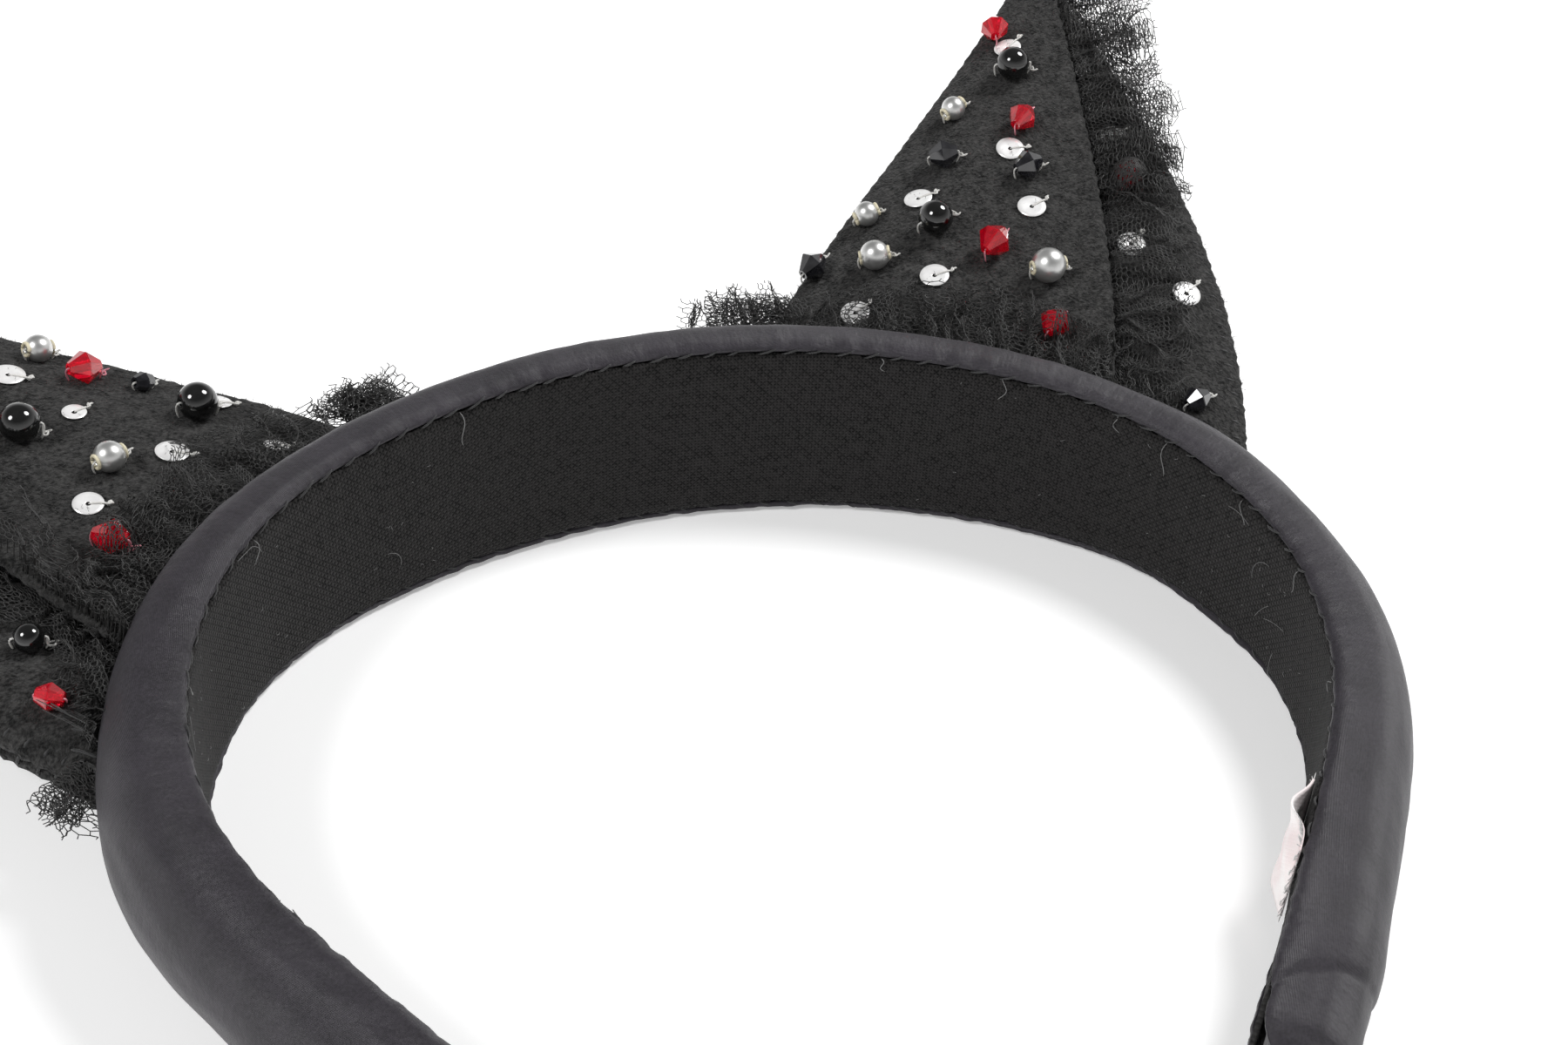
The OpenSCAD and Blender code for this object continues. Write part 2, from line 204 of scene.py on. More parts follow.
def strands(name, starts, stops, lean, width, material):
    """Straight three-sided threads between pairs of points, as one light mesh."""
    d = stops - starts
    length = np.linalg.norm(d, axis=1, keepdims=True)
    keep = length[:, 0] > 1e-6
    starts, stops, d = starts[keep], stops[keep], d[keep] / length[keep]
    x = np.cross(d, lean)
    x /= np.maximum(np.linalg.norm(x, axis=1, keepdims=True), 1e-9)
    y = np.cross(d, x)
    r = width / math.sqrt(3)
    corners = (math.pi / 2, 7 * math.pi / 6, 11 * math.pi / 6)
    offsets = [r * (math.cos(a) * x + math.sin(a) * y) for a in corners]
    points = np.stack([starts + o for o in offsets] + [stops + o for o in offsets], 1).reshape(-1, 3)
    base = 6 * np.arange(len(starts))[:, None]
    quads = np.array([[0, 1, 4, 3], [1, 2, 5, 4], [2, 0, 3, 5]])
    faces = (base[:, None] + quads[None]).reshape(-1, 4)
    mesh = bpy.data.meshes.new(name)
    mesh.vertices.add(len(points))
    mesh.vertices.foreach_set("co", (points * MM).astype(np.float32).ravel())
    mesh.loops.add(faces.size)
    mesh.loops.foreach_set("vertex_index", faces.astype(np.int32).ravel())
    mesh.polygons.add(len(faces))
    mesh.polygons.foreach_set("loop_start", np.arange(0, faces.size, 4, dtype=np.int32))
    mesh.update(calc_edges=True)
    mesh.validate()
    mesh.polygons.foreach_set("use_smooth", [True] * len(mesh.polygons))
    obj = bpy.data.objects.new(name, mesh)
    bpy.context.scene.collection.objects.link(obj)
    mesh.materials.append(material)
    return obj


# ---- materials ----
TWILL_PITCH, LINING_PITCH, LABEL_PITCH = 0.26, 0.46, 0.3


def principled(name, colour, roughness, **values):
    mat = bpy.data.materials.new(name)
    mat.use_nodes = True
    tree = mat.node_tree
    shader = tree.nodes["Principled BSDF"]
    shader.inputs["Base Color"].default_value = (*colour, 1)
    shader.inputs["Roughness"].default_value = roughness
    for key, value in values.items():
        shader.inputs[key.replace("_", " ")].default_value = value
    return mat, tree, shader


def node(tree, kind, **settings):
    made = tree.nodes.new(kind)
    for key, value in settings.items():
        if key in made.inputs:
            made.inputs[key].default_value = value
        else:
            setattr(made, key, value)
    return made


def math_node(tree, operation, a, b=None):
    made = tree.nodes.new("ShaderNodeMath")
    made.operation = operation
    for slot, value in zip(made.inputs, (a, b)):
        if value is None:
            continue
        if isinstance(value, (int, float)):
            slot.default_value = value
        else:
            tree.links.new(value, slot)
    return made.outputs[0]


def times(tree, a, b):
    return math_node(tree, "MULTIPLY", a, b)


def plus(tree, a, b):
    return math_node(tree, "ADD", a, b)


def noise(tree, size_mm, detail=3.0):
    """Noise whose lumps are about size_mm across."""
    where = node(tree, "ShaderNodeTexCoord")
    made = node(tree, "ShaderNodeTexNoise", Scale=1 / (size_mm * MM), Detail=detail)
    tree.links.new(where.outputs["Object"], made.inputs["Vector"])
    return made.outputs["Fac"]


def ramp(tree, value, low, high, dark, light):
    made = node(tree, "ShaderNodeValToRGB")
    made.color_ramp.elements[0].position = low
    made.color_ramp.elements[0].color = (*dark, 1)
    made.color_ramp.elements[1].position = high
    made.color_ramp.elements[1].color = (*light, 1)
    tree.links.new(value, made.inputs["Fac"])
    return made.outputs["Color"]


def tint(tree, shader, value, low, high, dark, light):
    """Colours a material from dark to light as value goes from low to high."""
    tree.links.new(ramp(tree, value, low, high, dark, light), shader.inputs["Base Color"])


def bump(tree, shader, height, depth_mm, strength=1.0, after=None):
    made = node(tree, "ShaderNodeBump", Strength=strength, Distance=depth_mm * MM)
    tree.links.new(height, made.inputs["Height"])
    if after is not None:
        tree.links.new(after, made.inputs["Normal"])
    tree.links.new(made.outputs["Normal"], shader.inputs["Normal"])
    return made.outputs["Normal"]


def cloth_axes(tree):
    """The cloth's own two directions, in metres."""
    where = node(tree, "ShaderNodeUVMap", uv_map="cloth")
    split = node(tree, "ShaderNodeSeparateXYZ")
    tree.links.new(where.outputs["UV"], split.inputs[0])
    return split.outputs["X"], split.outputs["Y"]


def cloth_noise(tree, along_mm, across_mm):
    """Noise drawn out across the cloth, like small creases."""
    u, v = cloth_axes(tree)
    where = node(tree, "ShaderNodeCombineXYZ")
    tree.links.new(times(tree, u, 1 / (along_mm * MM)), where.inputs["X"])
    tree.links.new(times(tree, v, 1 / (across_mm * MM)), where.inputs["Y"])
    made = node(tree, "ShaderNodeTexNoise", Scale=1.0, Detail=3.0)
    tree.links.new(where.outputs["Vector"], made.inputs["Vector"])
    return made.outputs["Fac"]


def weave_height(tree, pitch_mm):
    """Plain weave: threads that pass over and under each other."""
    u, v = cloth_axes(tree)
    k = math.pi / (pitch_mm * MM)
    su = math_node(tree, "SINE", times(tree, u, k))
    sv = math_node(tree, "SINE", times(tree, v, k))
    ridges = math_node(tree, "MAXIMUM", math_node(tree, "ABSOLUTE", su), math_node(tree, "ABSOLUTE", sv))
    return plus(tree, times(tree, times(tree, su, sv), 0.35), ridges)


def satin_material():
    """Dull charcoal satin: mottled, with a fine twill, small creases and soft wrinkles."""
    mat, tree, shader = principled(
        "satin_charcoal", (0.022, 0.02, 0.025), 0.46,
        Specular_IOR_Level=0.4, Sheen_Weight=0.1, Sheen_Roughness=0.4, Anisotropic=0.3,
    )
    mottle = plus(tree, times(tree, noise(tree, 6, 5), 0.45), times(tree, noise(tree, 0.34, 3), 0.6))
    tint(tree, shader, mottle, 0.38, 0.68, (0.0115, 0.0097, 0.0134), (0.0305, 0.0263, 0.0342))
    u, v = cloth_axes(tree)
    slant = plus(tree, times(tree, u, 0.35), v)
    twill = math_node(tree, "SINE", times(tree, slant, 2 * math.pi / (TWILL_PITCH * MM)))
    fine = bump(tree, shader, twill, 0.02, 0.6)
    wrinkles = bump(tree, shader, cloth_noise(tree, 1.1, 5.5), 0.16, 0.6, fine)
    soft = bump(tree, shader, noise(tree, 2.4, 5), 0.16, 0.6, wrinkles)
    bump(tree, shader, noise(tree, 0.5, 4), 0.06, 0.7, soft)
    return mat


def lining_material():
    """Dark plain weave with uneven threads. Its colour carries painted shade in the hollows of the weave and
    painted light on its crests, over the threads' real uneven tone.
    """
    mat, tree, shader = principled(
        "lining_weave", (0.012, 0.012, 0.012), 0.8,
        Specular_IOR_Level=0.12, Sheen_Weight=0.05, Sheen_Roughness=0.5,
    )
    height = weave_height(tree, LINING_PITCH)
    slub = times(tree, noise(tree, 0.9, 2), 0.9)
    # painted shade: the weave's height darkens the colour in its hollows and lightens it on its crests; the
    # slub noise is the threads' real uneven tone
    shade = plus(tree, times(tree, height, 0.6), slub)
    tint(tree, shader, shade, 0.62, 1.3, (0.0012, 0.0012, 0.0012), (0.023, 0.0218, 0.0216))
    bump(tree, shader, height, 0.16, 1.0)
    return mat


def felt_material():
    """Black wool felt, clumped and lumpy."""
    mat, tree, shader = principled(
        "felt_black", (0.014, 0.014, 0.014), 0.95,
        Specular_IOR_Level=0.08, Sheen_Weight=0.08, Sheen_Roughness=0.6,
    )
    clumps = plus(tree, noise(tree, 0.55, 6), times(tree, noise(tree, 2.0, 4), 0.6))
    tint(tree, shader, clumps, 0.62, 1.02, (0.006, 0.006, 0.006), (0.05, 0.049, 0.048))
    lumps = bump(tree, shader, noise(tree, 1.9, 4), 0.6, 0.9)
    bump(tree, shader, noise(tree, 0.4, 6), 0.5, 1.0, lumps)
    return mat


def noisy_material(name, colour, rough, tones=None, relief=None, **values):
    """A material whose colour and surface vary by noise.

    tones holds the noise's size in mm and detail, then tint's numbers; relief the same two, then bump's."""
    mat, tree, shader = principled(name, colour, rough, **values)
    if tones:
        tint(tree, shader, noise(tree, *tones[:2]), *tones[2:])
    if relief:
        bump(tree, shader, noise(tree, *relief[:2]), *relief[2:])
    return mat


def thread_material(name, colour, rough=0.6):
    tones = (0.2, 2, 0.35, 0.65, tuple(0.5 * c for c in colour), colour)
    return noisy_material(name, colour, rough, tones, (0.15, 2, 0.04, 0.6), Sheen_Weight=0.2)


def net_material():
    tones = (0.6, 3, 0.3, 0.7, (0.009, 0.009, 0.009), (0.046, 0.045, 0.044))
    return noisy_material("net_black", (0.03, 0.03, 0.03), 0.42, tones, Specular_IOR_Level=0.5)


def pearl_material(name, colour, metallic, rough):
    light = tuple(min(1.0, 1.12 * c + 0.004) for c in colour)
    return noisy_material(name, colour, rough, (1.1, 3, 0.35, 0.7, colour, light), (0.6, 3, 0.012, 0.4),
                          Metallic=metallic, Coat_Weight=0.6, Coat_Roughness=0.06)


def crystal_material(name, colour, transmission):
    light = tuple(min(1.0, 1.5 * c + 0.01) for c in colour)
    return noisy_material(name, colour, 0.04, (1.3, 2, 0.4, 0.62, colour, light),
                          Transmission_Weight=transmission, IOR=1.55, Coat_Weight=0.7, Coat_Roughness=0.03)


def sequin_material():
    tones = (1.6, 3, 0.35, 0.7, (0.84, 0.83, 0.83), (0.97, 0.97, 0.96))
    return noisy_material("sequin_silver", (0.9, 0.9, 0.91), 0.3, tones, (1.2, 2, 0.02, 0.4),
                          Metallic=0.25, Coat_Weight=0.3)


def nylon_material(name, colour):
    return noisy_material(name, colour, 0.18, None, (0.3, 2, 0.02, 0.4), Transmission_Weight=0.25, IOR=1.45)


def label_material():
    """Pale woven tape, a little uneven in colour."""
    mat, tree, shader = principled("label_tape", (0.86, 0.78, 0.78), 0.7, Sheen_Weight=0.2)
    tint(tree, shader, noise(tree, 5, 3), 0.35, 0.7, (0.85, 0.72, 0.72), (0.93, 0.9, 0.89))
    bump(tree, shader, weave_height(tree, LABEL_PITCH), 0.04, 0.6)
    return mat


def plain_material(name, colour, rough, lump_mm):
    tones = (lump_mm, 3, 0.35, 0.65, tuple(0.85 * c for c in colour), colour)
    return noisy_material(name, colour, rough, tones, (lump_mm * 0.5, 3, 0.05, 0.4))


MAT = {
    "satin": satin_material(),
    "lining": lining_material(),
    "felt": felt_material(),
    "thread": thread_material("thread_black", (0.014, 0.014, 0.015)),
    "white_thread": thread_material("thread_white", (0.8, 0.79, 0.78)),
    "net": net_material(),
    "silver": pearl_material("pearl_silver", (0.62, 0.62, 0.61), 0.9, 0.36),
    "black": pearl_material("pearl_black", (0.003, 0.003, 0.003), 0.0, 0.09),
    "cream": plain_material("pearl_core", (0.72, 0.66, 0.48), 0.5, 0.6),
    "red": crystal_material("crystal_red", (0.78, 0.0, 0.02), 0.65),
    "jet": crystal_material("crystal_black", (0.006, 0.006, 0.008), 0.0),
    "sequin": sequin_material(),
    "nylon": nylon_material("nylon_clear", (0.86, 0.85, 0.82)),
    "pink_nylon": nylon_material("nylon_tinted", (0.85, 0.35, 0.42)),
    "label": label_material(),
    "foam": plain_material("foam_grey", (0.6, 0.6, 0.58), 0.9, 1.0),
    "plastic": plain_material("core_plastic", (0.8, 0.8, 0.78), 0.4, 3.0),
    "wadding": plain_material("wadding_grey", (0.2, 0.2, 0.2), 0.95, 1.0),
    "fibre": thread_material("felt_fibre", (0.045, 0.044, 0.043), 0.8),
    "lint": plain_material("lint_pale", (0.22, 0.22, 0.22), 0.9, 0.5),
}


# ---- the band's plan: three tangent arcs on each side of the crown ----
def heading(a):
    a = np.asarray(a, float)
    h = np.where(a < CROWN_LEN, a / CROWN_R, math.radians(CROWN_DEG) + (a - CROWN_LEN) / SIDE_R)
    turned = math.radians(CROWN_DEG + SIDE_DEG)
    return np.where(a < CROWN_LEN + SIDE_LEN, h, turned + (a - CROWN_LEN - SIDE_LEN) / ARM_R)


def arc_end(x, y, r, h0, h1):
    return x + r * (np.sin(h1) - np.sin(h0)), y + r * (np.cos(h1) - np.cos(h0))


def plan(s):
    """Plan point and outward direction at a signed distance s from the crown, + on the right."""
    side, a = np.sign(np.asarray(s, float)), np.abs(np.asarray(s, float))
    h = heading(a)
    h1, h2 = math.radians(CROWN_DEG), math.radians(CROWN_DEG + SIDE_DEG)
    x1, y1 = arc_end(0.0, 0.0, CROWN_R, 0.0, np.minimum(h, h1))
    x2, y2 = arc_end(x1, y1, SIDE_R, h1, np.clip(h, h1, h2))
    x3, y3 = arc_end(x2, y2, ARM_R, h2, np.maximum(h, h2))
    side = np.where(side == 0, 1, side)
    return np.stack([side * x3, y3], -1), np.stack([side * np.sin(h), np.cos(h)], -1)


def width_at(s):
    return BAND_W + BAND_TAPER * plan(s)[0][..., 1]


def band_point(s, r, z):
    p, out = plan(s)
    p = p + np.asarray(r)[..., None] * out
    return np.stack([p[..., 0], p[..., 1], np.broadcast_to(z, p[..., 0].shape)], -1) + CROWN_AT


def spline(a, b, c, d, t):
    """A smooth curve from b to c, with a and d as its neighbours."""
    return 0.5 * (2 * b + (c - a) * t + (2 * a - 5 * b + 4 * c - d) * t * t
                  + (3 * b - a - 3 * c + d) * t ** 3)


def with_ends(p):
    """Points with one more beyond each end, in line with the last two."""
    return np.vstack([2 * p[0] - p[1], p, 2 * p[-1] - p[-2]])


def resample(points, count):
    """A smooth curve through points, resampled evenly."""
    p = np.asarray(points, float)
    padded = with_ends(p)
    t = np.linspace(0, 1, 16, endpoint=False)[:, None]
    parts = [spline(*padded[i:i + 4], t) for i in range(len(p) - 1)]
    dense = np.vstack([*parts, p[-1:]])
    run = np.concatenate([[0], np.cumsum(np.linalg.norm(np.diff(dense, axis=0), axis=1))])
    at = np.linspace(0, run[-1], count)
    return np.stack([np.interp(at, run, dense[:, k]) for k in range(2)], 1)


def smooth_path(points, count=9):
    """A smooth three-dimensional path through a few points."""
    p = np.asarray(points, float)
    padded = with_ends(p)
    out = []
    for x in np.linspace(0, len(p) - 1, count):
        i = min(int(x), len(p) - 2)
        out.append(spline(*padded[i:i + 4], x - i))
    return np.array(out)


def skin_profile(w, count):
    """Section of the satin skin from the rear seam round the outside to the front seam, as r and z."""
    deep = BAND_T - SECTION_FLAT
    turn = np.radians(np.linspace(0, 90, 9))
    bulge = [(SECTION_FLAT + deep * math.cos(a), w / 2 + w / 2 * math.sin(a)) for a in turn]
    lip = [(2.6, w + 0.02), (1.3, w - 0.12), (0.45, w - 0.5),
           (0.0, w - 0.95), (0.35, w - 1.3), (1.2, w - 1.55)]
    upper = bulge + lip
    lower = [(r, w - z) for r, z in reversed(upper[1:])]
    return resample(lower + upper, count)


def seam_pull(s):
    """How hard each stitch pulls the cloth at s, from 0 to 1."""
    return np.clip(np.cos(2 * math.pi * s / SEAM_PITCH), 0, 1) ** 3


rough_a, rough_b, rough_c = smooth_noise(1), smooth_noise(2), smooth_noise(3)


def tip_step(s, around):
    """Satin wrapped over each arm's end: a soft bulge, then a step down along a slanting fold."""
    inner_at, outer_at = TIP_FOLD_AT
    outer_share = np.sin(math.pi * around) ** 0.7
    past = abs(s) - (inner_at + (outer_at - inner_at) * outer_share)
    drop = np.clip(past / 0.9, 0, 1)
    before = np.exp(-((past + 3.2) / 3.6) ** 2)
    groove = np.exp(-((past - 0.5) / 0.7) ** 2)
    return 0.3 * before - 0.22 * drop * drop * (3 - 2 * drop) - 0.16 * groove


CAP_DEG = (14, 28, 42, 56, 68, 78, 85, 89)
SKIN_COUNT = 84
COARSE_STEP, FINE_STEP = 0.66, 0.4


def skin_relief(s, around, length):
    """Soft waves, puckers at the seams and the folded end, in mm. The turned-in edges stay flat."""
    seam_share = np.minimum(around, 1 - around)
    near_seam = np.exp(-seam_share * GIRTH / 3.0)
    wide_pucker = np.exp(-seam_share * GIRTH / 7.0)
    off = 0.16 * rough_a(s, length, 30) + 0.05 * rough_b(s, length, 7)
    off = off + wide_pucker * 0.09 * rough_c(s, 0.25 * length, 4.2)
    off = off + near_seam * (0.14 * rough_c(s, 0 * length, 2.6) - 0.2 * seam_pull(s + SEAM_SHIFT))
    return np.where(seam_share < TURNED_IN, 0, off + tip_step(s, around))


def satin_cover():
    """The whole satin skin in one piece, with both arms' ends folded over."""
    coarse = np.arange(-TIP_FOLD_AT[1] + 4, TIP_FOLD_AT[1] - 3.9, COARSE_STEP)
    fine = np.arange(TIP_FOLD_AT[1] - 3.8, BAND_LEN, FINE_STEP)
    around = np.linspace(0, 1, SKIN_COUNT)
    length = around * GIRTH
    rings, uv = [], []
    for s in np.concatenate([-fine[::-1], coarse, fine]):
        prof = skin_profile(float(width_at(s)), SKIN_COUNT)
        span = np.gradient(prof, axis=0)
        normal = np.stack([span[:, 1], -span[:, 0]], 1)
        normal /= np.linalg.norm(normal, axis=1, keepdims=True)
        prof = prof + normal * skin_relief(s, around, length)[:, None]
        prof[:, 1] = np.maximum(prof[:, 1], FLOOR_GAP)
        here = np.full(SKIN_COUNT, s)
        rings.append(band_point(here, prof[:, 0], prof[:, 1]))
        uv.append(np.stack([here, length], 1))
    rings, uv = end_folds(rings, uv)
    obj = loft("satin_cover", rings, MAT["satin"], uv)
    fit_in(obj, ["cover_right", "cover_left", "tip_fold_right", "tip_fold_left"])
    across_crown(obj)


def end_folds(rings, uv):
    """Rounds off both ends of the skin."""
    out, out_uv = list(rings), list(uv)
    for end, beside in ((0, 1), (-1, -2)):
        ring, flat = np.array(rings[end]), np.array(uv[end])
        step = (ring - np.array(rings[beside])).mean(0)
        step /= np.linalg.norm(step)
        mid = ring.mean(0)
        caps, caps_uv = [], []
        for a in np.radians(CAP_DEG):
            k = 0.12 + 0.88 * math.cos(a) ** 0.8
            cap = mid + (ring - mid) * k + step * FOLD_LEN * math.sin(a)
            cap[:, 2] = np.maximum(cap[:, 2], FLOOR_GAP)
            caps.append(cap)
            caps_uv.append(flat + [FOLD_LEN * math.sin(a) * (1 if end else -1), 0])
        if end == 0:
            out, out_uv = caps[::-1] + out, caps_uv[::-1] + out_uv
        else:
            out, out_uv = out + caps, out_uv + caps_uv
    return out, out_uv


def across_crown(obj):
    """Bakes a band piece's transform into its mesh."""
    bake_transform(obj)


SWEEP_GAP, SWEEP_STEP = 0.6, 1.2
FOAM_GAP = 1.3
CORE_IN, CORE_OUT, CORE_EDGE = 1.5, 2.6, 3.2


def swept(name, section, material):
    """A closed sweep along the band of a section given as a function of the width."""
    rings = []
    for s in np.arange(-BAND_LEN + SWEEP_GAP, BAND_LEN - SWEEP_GAP + 0.1, SWEEP_STEP):
        prof = np.asarray(section(float(width_at(s))))
        rings.append(band_point(np.full(len(prof), s), prof[:, 0], prof[:, 1]))
    return loft(name, rings, material)


def foam_section(w):
    turn = np.radians(np.linspace(-90, 90, 17))
    a, b = BAND_T - SECTION_FLAT - FOAM_GAP, w / 2 - FOAM_GAP
    dome = [(SECTION_FLAT + a * math.cos(t), w / 2 + b * math.sin(t)) for t in turn]
    return dome + [(3.0, w - 1.6), (3.0, 1.6)]


def core_section(w):
    high = w - CORE_EDGE
    return [(CORE_IN, CORE_EDGE), (CORE_OUT, CORE_EDGE), (CORE_OUT, high), (CORE_IN, high)]


def band_inside():
    """Foam and core, hidden by the cover and the lining."""
    foam = swept("foam_pad", foam_section, MAT["foam"])
    fit_in(foam, ["foam_right", "foam_left"])
    across_crown(foam)
    core = swept("core_strip", core_section, MAT["plastic"])
    fit_in(core, ["core_right", "core_left"])
    across_crown(core)


def woven_lining():
    """The lining strip, its edges turned under and pulled into scallops by the stitches."""
    reach = TIP_FOLD_AT[0] - 1
    across = np.linspace(0, 1, 30)
    rings, uv = [], []
    for s in np.arange(-reach, reach + 0.1, 0.6):
        w = float(width_at(s))
        pull = 0.2 * float(seam_pull(s + SEAM_SHIFT)) + 0.1 * float(rough_c(s, 40, 7))
        low, high = RIM + 0.5 + pull, w - RIM - 0.45 - pull
        z = low + (high - low) * across
        edge = np.exp(-np.minimum(z - low, high - z) / 0.5)
        face = -0.1 - 0.09 * rough_a(s, z, 20) + 0.3 * edge
        both_z = np.concatenate([z, z[::-1]])
        here = np.full(len(both_z), s)
        rings.append(band_point(here, np.concatenate([face, np.full(len(z), 0.5)]), both_z))
        uv.append(np.stack([here, both_z], 1))
    obj = loft("woven_lining", rings, MAT["lining"], uv)
    fit_in(obj, ["lining_right", "lining_left"])
    across_crown(obj)


def slip_stitches(edge):
    """Small slanting stitches that sew the lining's folded edge to the satin."""
    front = edge == "front"
    rng = np.random.default_rng(SEED[edge])
    base_r, proud = (0.16, 0.24) if front else (0.34, 0.12)
    paths = []
    s = 5 - BAND_LEN
    while s < BAND_LEN - 7:
        length = SEAM_PITCH * rng.uniform(0.45, 0.75)
        t = np.linspace(0, 1, 7)
        z = rng.uniform(0.25, 0.55) * 2 * (t - 0.5)
        calm = float(np.clip((-95 - s) / 15, 0, 1))
        r = base_r + 0.16 * calm - proud * (1 - 0.6 * calm) * np.sin(math.pi * t)
        w = width_at(s + length * t)
        paths.append(band_point(s + length * t, r, w - RIM - 0.15 + z if front else RIM + 0.25 - z))
        s += SEAM_PITCH * rng.uniform(0.86, 1.14)
    obj = tubes(edge + "_seam", paths, THREAD_R["seam"], MAT["thread"])
    fit_in(obj, [edge + "_seam_right", edge + "_seam_left"])
    across_crown(obj)


def loose_ends():
    """Thread ends that were left hanging from the front seam."""
    rng = np.random.default_rng(SEED["ends"])
    halves = {"right": [], "left": []}
    for s in (-118, -86, -63, -31, 26, 43, 58, 66, 79, 92, 109):
        t = np.linspace(0, 1, 12)
        reach = rng.uniform(1.2, 5.5)
        bend = rng.uniform(-1.3, 1.3)
        w = float(width_at(float(s)))
        z = w - RIM - 0.3 - reach * t * rng.uniform(0.5, 1.0)
        along = s + bend * t + 0.5 * np.sin(5 * t + s)
        halves["right" if s > 0 else "left"].append(band_point(along, -0.2 - 0.35 * np.sin(2.6 * t), z))
    half_threads("_loose_ends", halves, THREAD_R["loose"])


# ---- label ----
LABEL_S, LABEL_LEN, LABEL_LOW = 124.0, 10.8, 3.6
LABEL_ROOM = 1.6


def label_point(k, j, lift):
    """A place on the label: k along it, j across it from its low edge to its high one.

    The high edge gapes nearer the crown; the low edge swells out from the lining."""
    s = LABEL_S + LABEL_LEN * k
    k, j = np.broadcast_arrays(np.asarray(k, float), np.asarray(j, float))
    along = np.clip(k, 0, 1)
    rise = np.clip((along - 0.5) / 0.35, 0, 1)
    top = width_at(s) - LABEL_ROOM + 0.7 * rise
    z = LABEL_LOW + (top - LABEL_LOW) * j
    high = np.clip((j - 0.5) / 0.5, 0, 1) ** 2
    gape = 1.7 * np.exp(-((along - 0.36) / 0.23) ** 2)
    swell = 1.5 * np.sin(math.pi * along ** 0.85) ** 0.8
    bow = 0.45 + high * gape + (1 - high) * swell
    curl = 0.2 * rough_b(s, z, 6) * np.sin(math.pi * along)
    slip = 0.3 * (1 - j) * k
    return band_point(s + slip, -bow - curl - lift, z)


def care_label():
    """Blank woven tape, bowed off the lining between its two sewn ends."""
    across = np.linspace(0, 1, 16)
    j = np.concatenate([across, across[::-1]])
    rings, uv = [], []
    for k in np.linspace(0, 1, 36):
        rings.append(np.vstack([label_point(k, across, 0.14), label_point(k, across[::-1], -0.14)]))
        uv.append(np.stack([np.full(len(j), LABEL_LEN * k), 11 * j], 1))
    obj = loft("care_label_tape", rings, MAT["label"], uv)
    fit_in(obj, ["care_label"], "right_half")


def label_fray():
    """Threads that fray from the label's raw ends and from part of its high edge."""
    rng = np.random.default_rng(SEED["fray"])
    t = np.linspace(0, 1, 5)
    fray = []
    for k0, way in ((0.0, -1), (1.0, 1)):
        for j in np.linspace(0.02, 0.98, 30):
            reach = rng.uniform(0.03, 0.1)
            drift = rng.uniform(-0.03, 0.03)
            fray.append(label_point(k0 + way * reach * t, j + drift * t, rng.uniform(-0.1, 0.5) * t))
    for k in np.linspace(0.58, 0.96, 18):
        fray.append(label_point(k + rng.uniform(-0.06, 0.06) * t, 1 + rng.uniform(0.03, 0.13) * t, 0.5 * t))
    obj = tubes("label_fray", fray, THREAD_R["fray"], MAT["white_thread"], 4)
    fit_in(obj, body="right_half")


def label_stitching():
    t = np.linspace(0, 1, 6)
    lift = 0.12 + 0.06 * np.sin(math.pi * t)
    rows = [(k, j) for k in (0.03, 0.97) for j in np.linspace(0.12, 0.8, 4)]
    paths = [label_point(k + 0.01 * t, j + 0.09 * t, lift) for k, j in rows]
    obj = tubes("label_stitching", paths, THREAD_R["label"], MAT["white_thread"])
    fit_in(obj, ["label_stitches"], "right_half")


# ---- ears ----
FELT_T, TUCK = 1.6, 9.0
FRONT_TOP, SIDE_TOP, BACK_TOP = 3.6, 0.8, -0.8
PLACE = {"right": (40.0, 16.0, 26.0, 20.0), "left": (62.0, 14.0, 48.0, 10.0)}
EAR_OFF = 8.0


def ear_axes(side):
    """Origin, across, along and front directions of an ear."""
    s, z, yaw, tilt = PLACE[side]
    yaw, tilt = math.radians(yaw), math.radians(tilt)
    across = np.array([math.cos(yaw), -math.sin(yaw), 0.0])
    along = np.array([math.sin(yaw) * math.cos(tilt), math.cos(yaw) * math.cos(tilt), math.sin(tilt)])
    front = np.cross(across, along)
    at = band_point(np.array(s), np.array(EAR_OFF), z) - CROWN_AT
    if side == "left":
        flip = np.array([-1.0, 1.0, 1.0])
        at, across, along, front = at * flip, across * flip, along * flip, front * flip
    return at + CROWN_AT, across, along, front


EARS = {side: ear_axes(side) for side in SIDES}
LEFT_TUCK = 3.4  # the left ear's outer edge is drawn in by this much at v = 0, and a fifth more below


def on_ear(side, u, v, n):
    at, across, along, front = EARS[side]
    u, v, n = np.broadcast_arrays(np.asarray(u, float), np.asarray(v, float), np.asarray(n, float))
    if side == "left":
        low = np.clip((34 - v) / 34, 0, 1.2)
        u = u - LEFT_TUCK * np.clip((u - 24) / 12, 0, 1) ** 1.5 * low
    return at + u[..., None] * across + v[..., None] * along + n[..., None] * front


def bezier_table(a, b, c, d, count=200):
    t = np.linspace(0, 1, count)[:, None]
    a, b, c, d = (np.array(p, float) for p in (a, b, c, d))
    return (1 - t) ** 3 * a + 3 * (1 - t) ** 2 * t * b + 3 * (1 - t) * t * t * c + t ** 3 * d


TIP = (-3, 92)
INNER = bezier_table((-33, -5), (-27, 28), (-7, 66), TIP)
OUTER = bezier_table((36, -8), (36, 30), (14, 64), TIP)
CREASE = bezier_table((17, -6), (17.5, 24), (5.5, 60), TIP)


def edge_u(table, v):
    return np.interp(v, table[:, 1], table[:, 0])


def bulge_radius(s, z):
    """How far out the satin reaches at height z."""
    w = width_at(s)
    c = np.clip((z - w / 2) / (w / 2), -1, 1)
    return SECTION_FLAT + (BAND_T - SECTION_FLAT) * np.sqrt(1 - c * c)


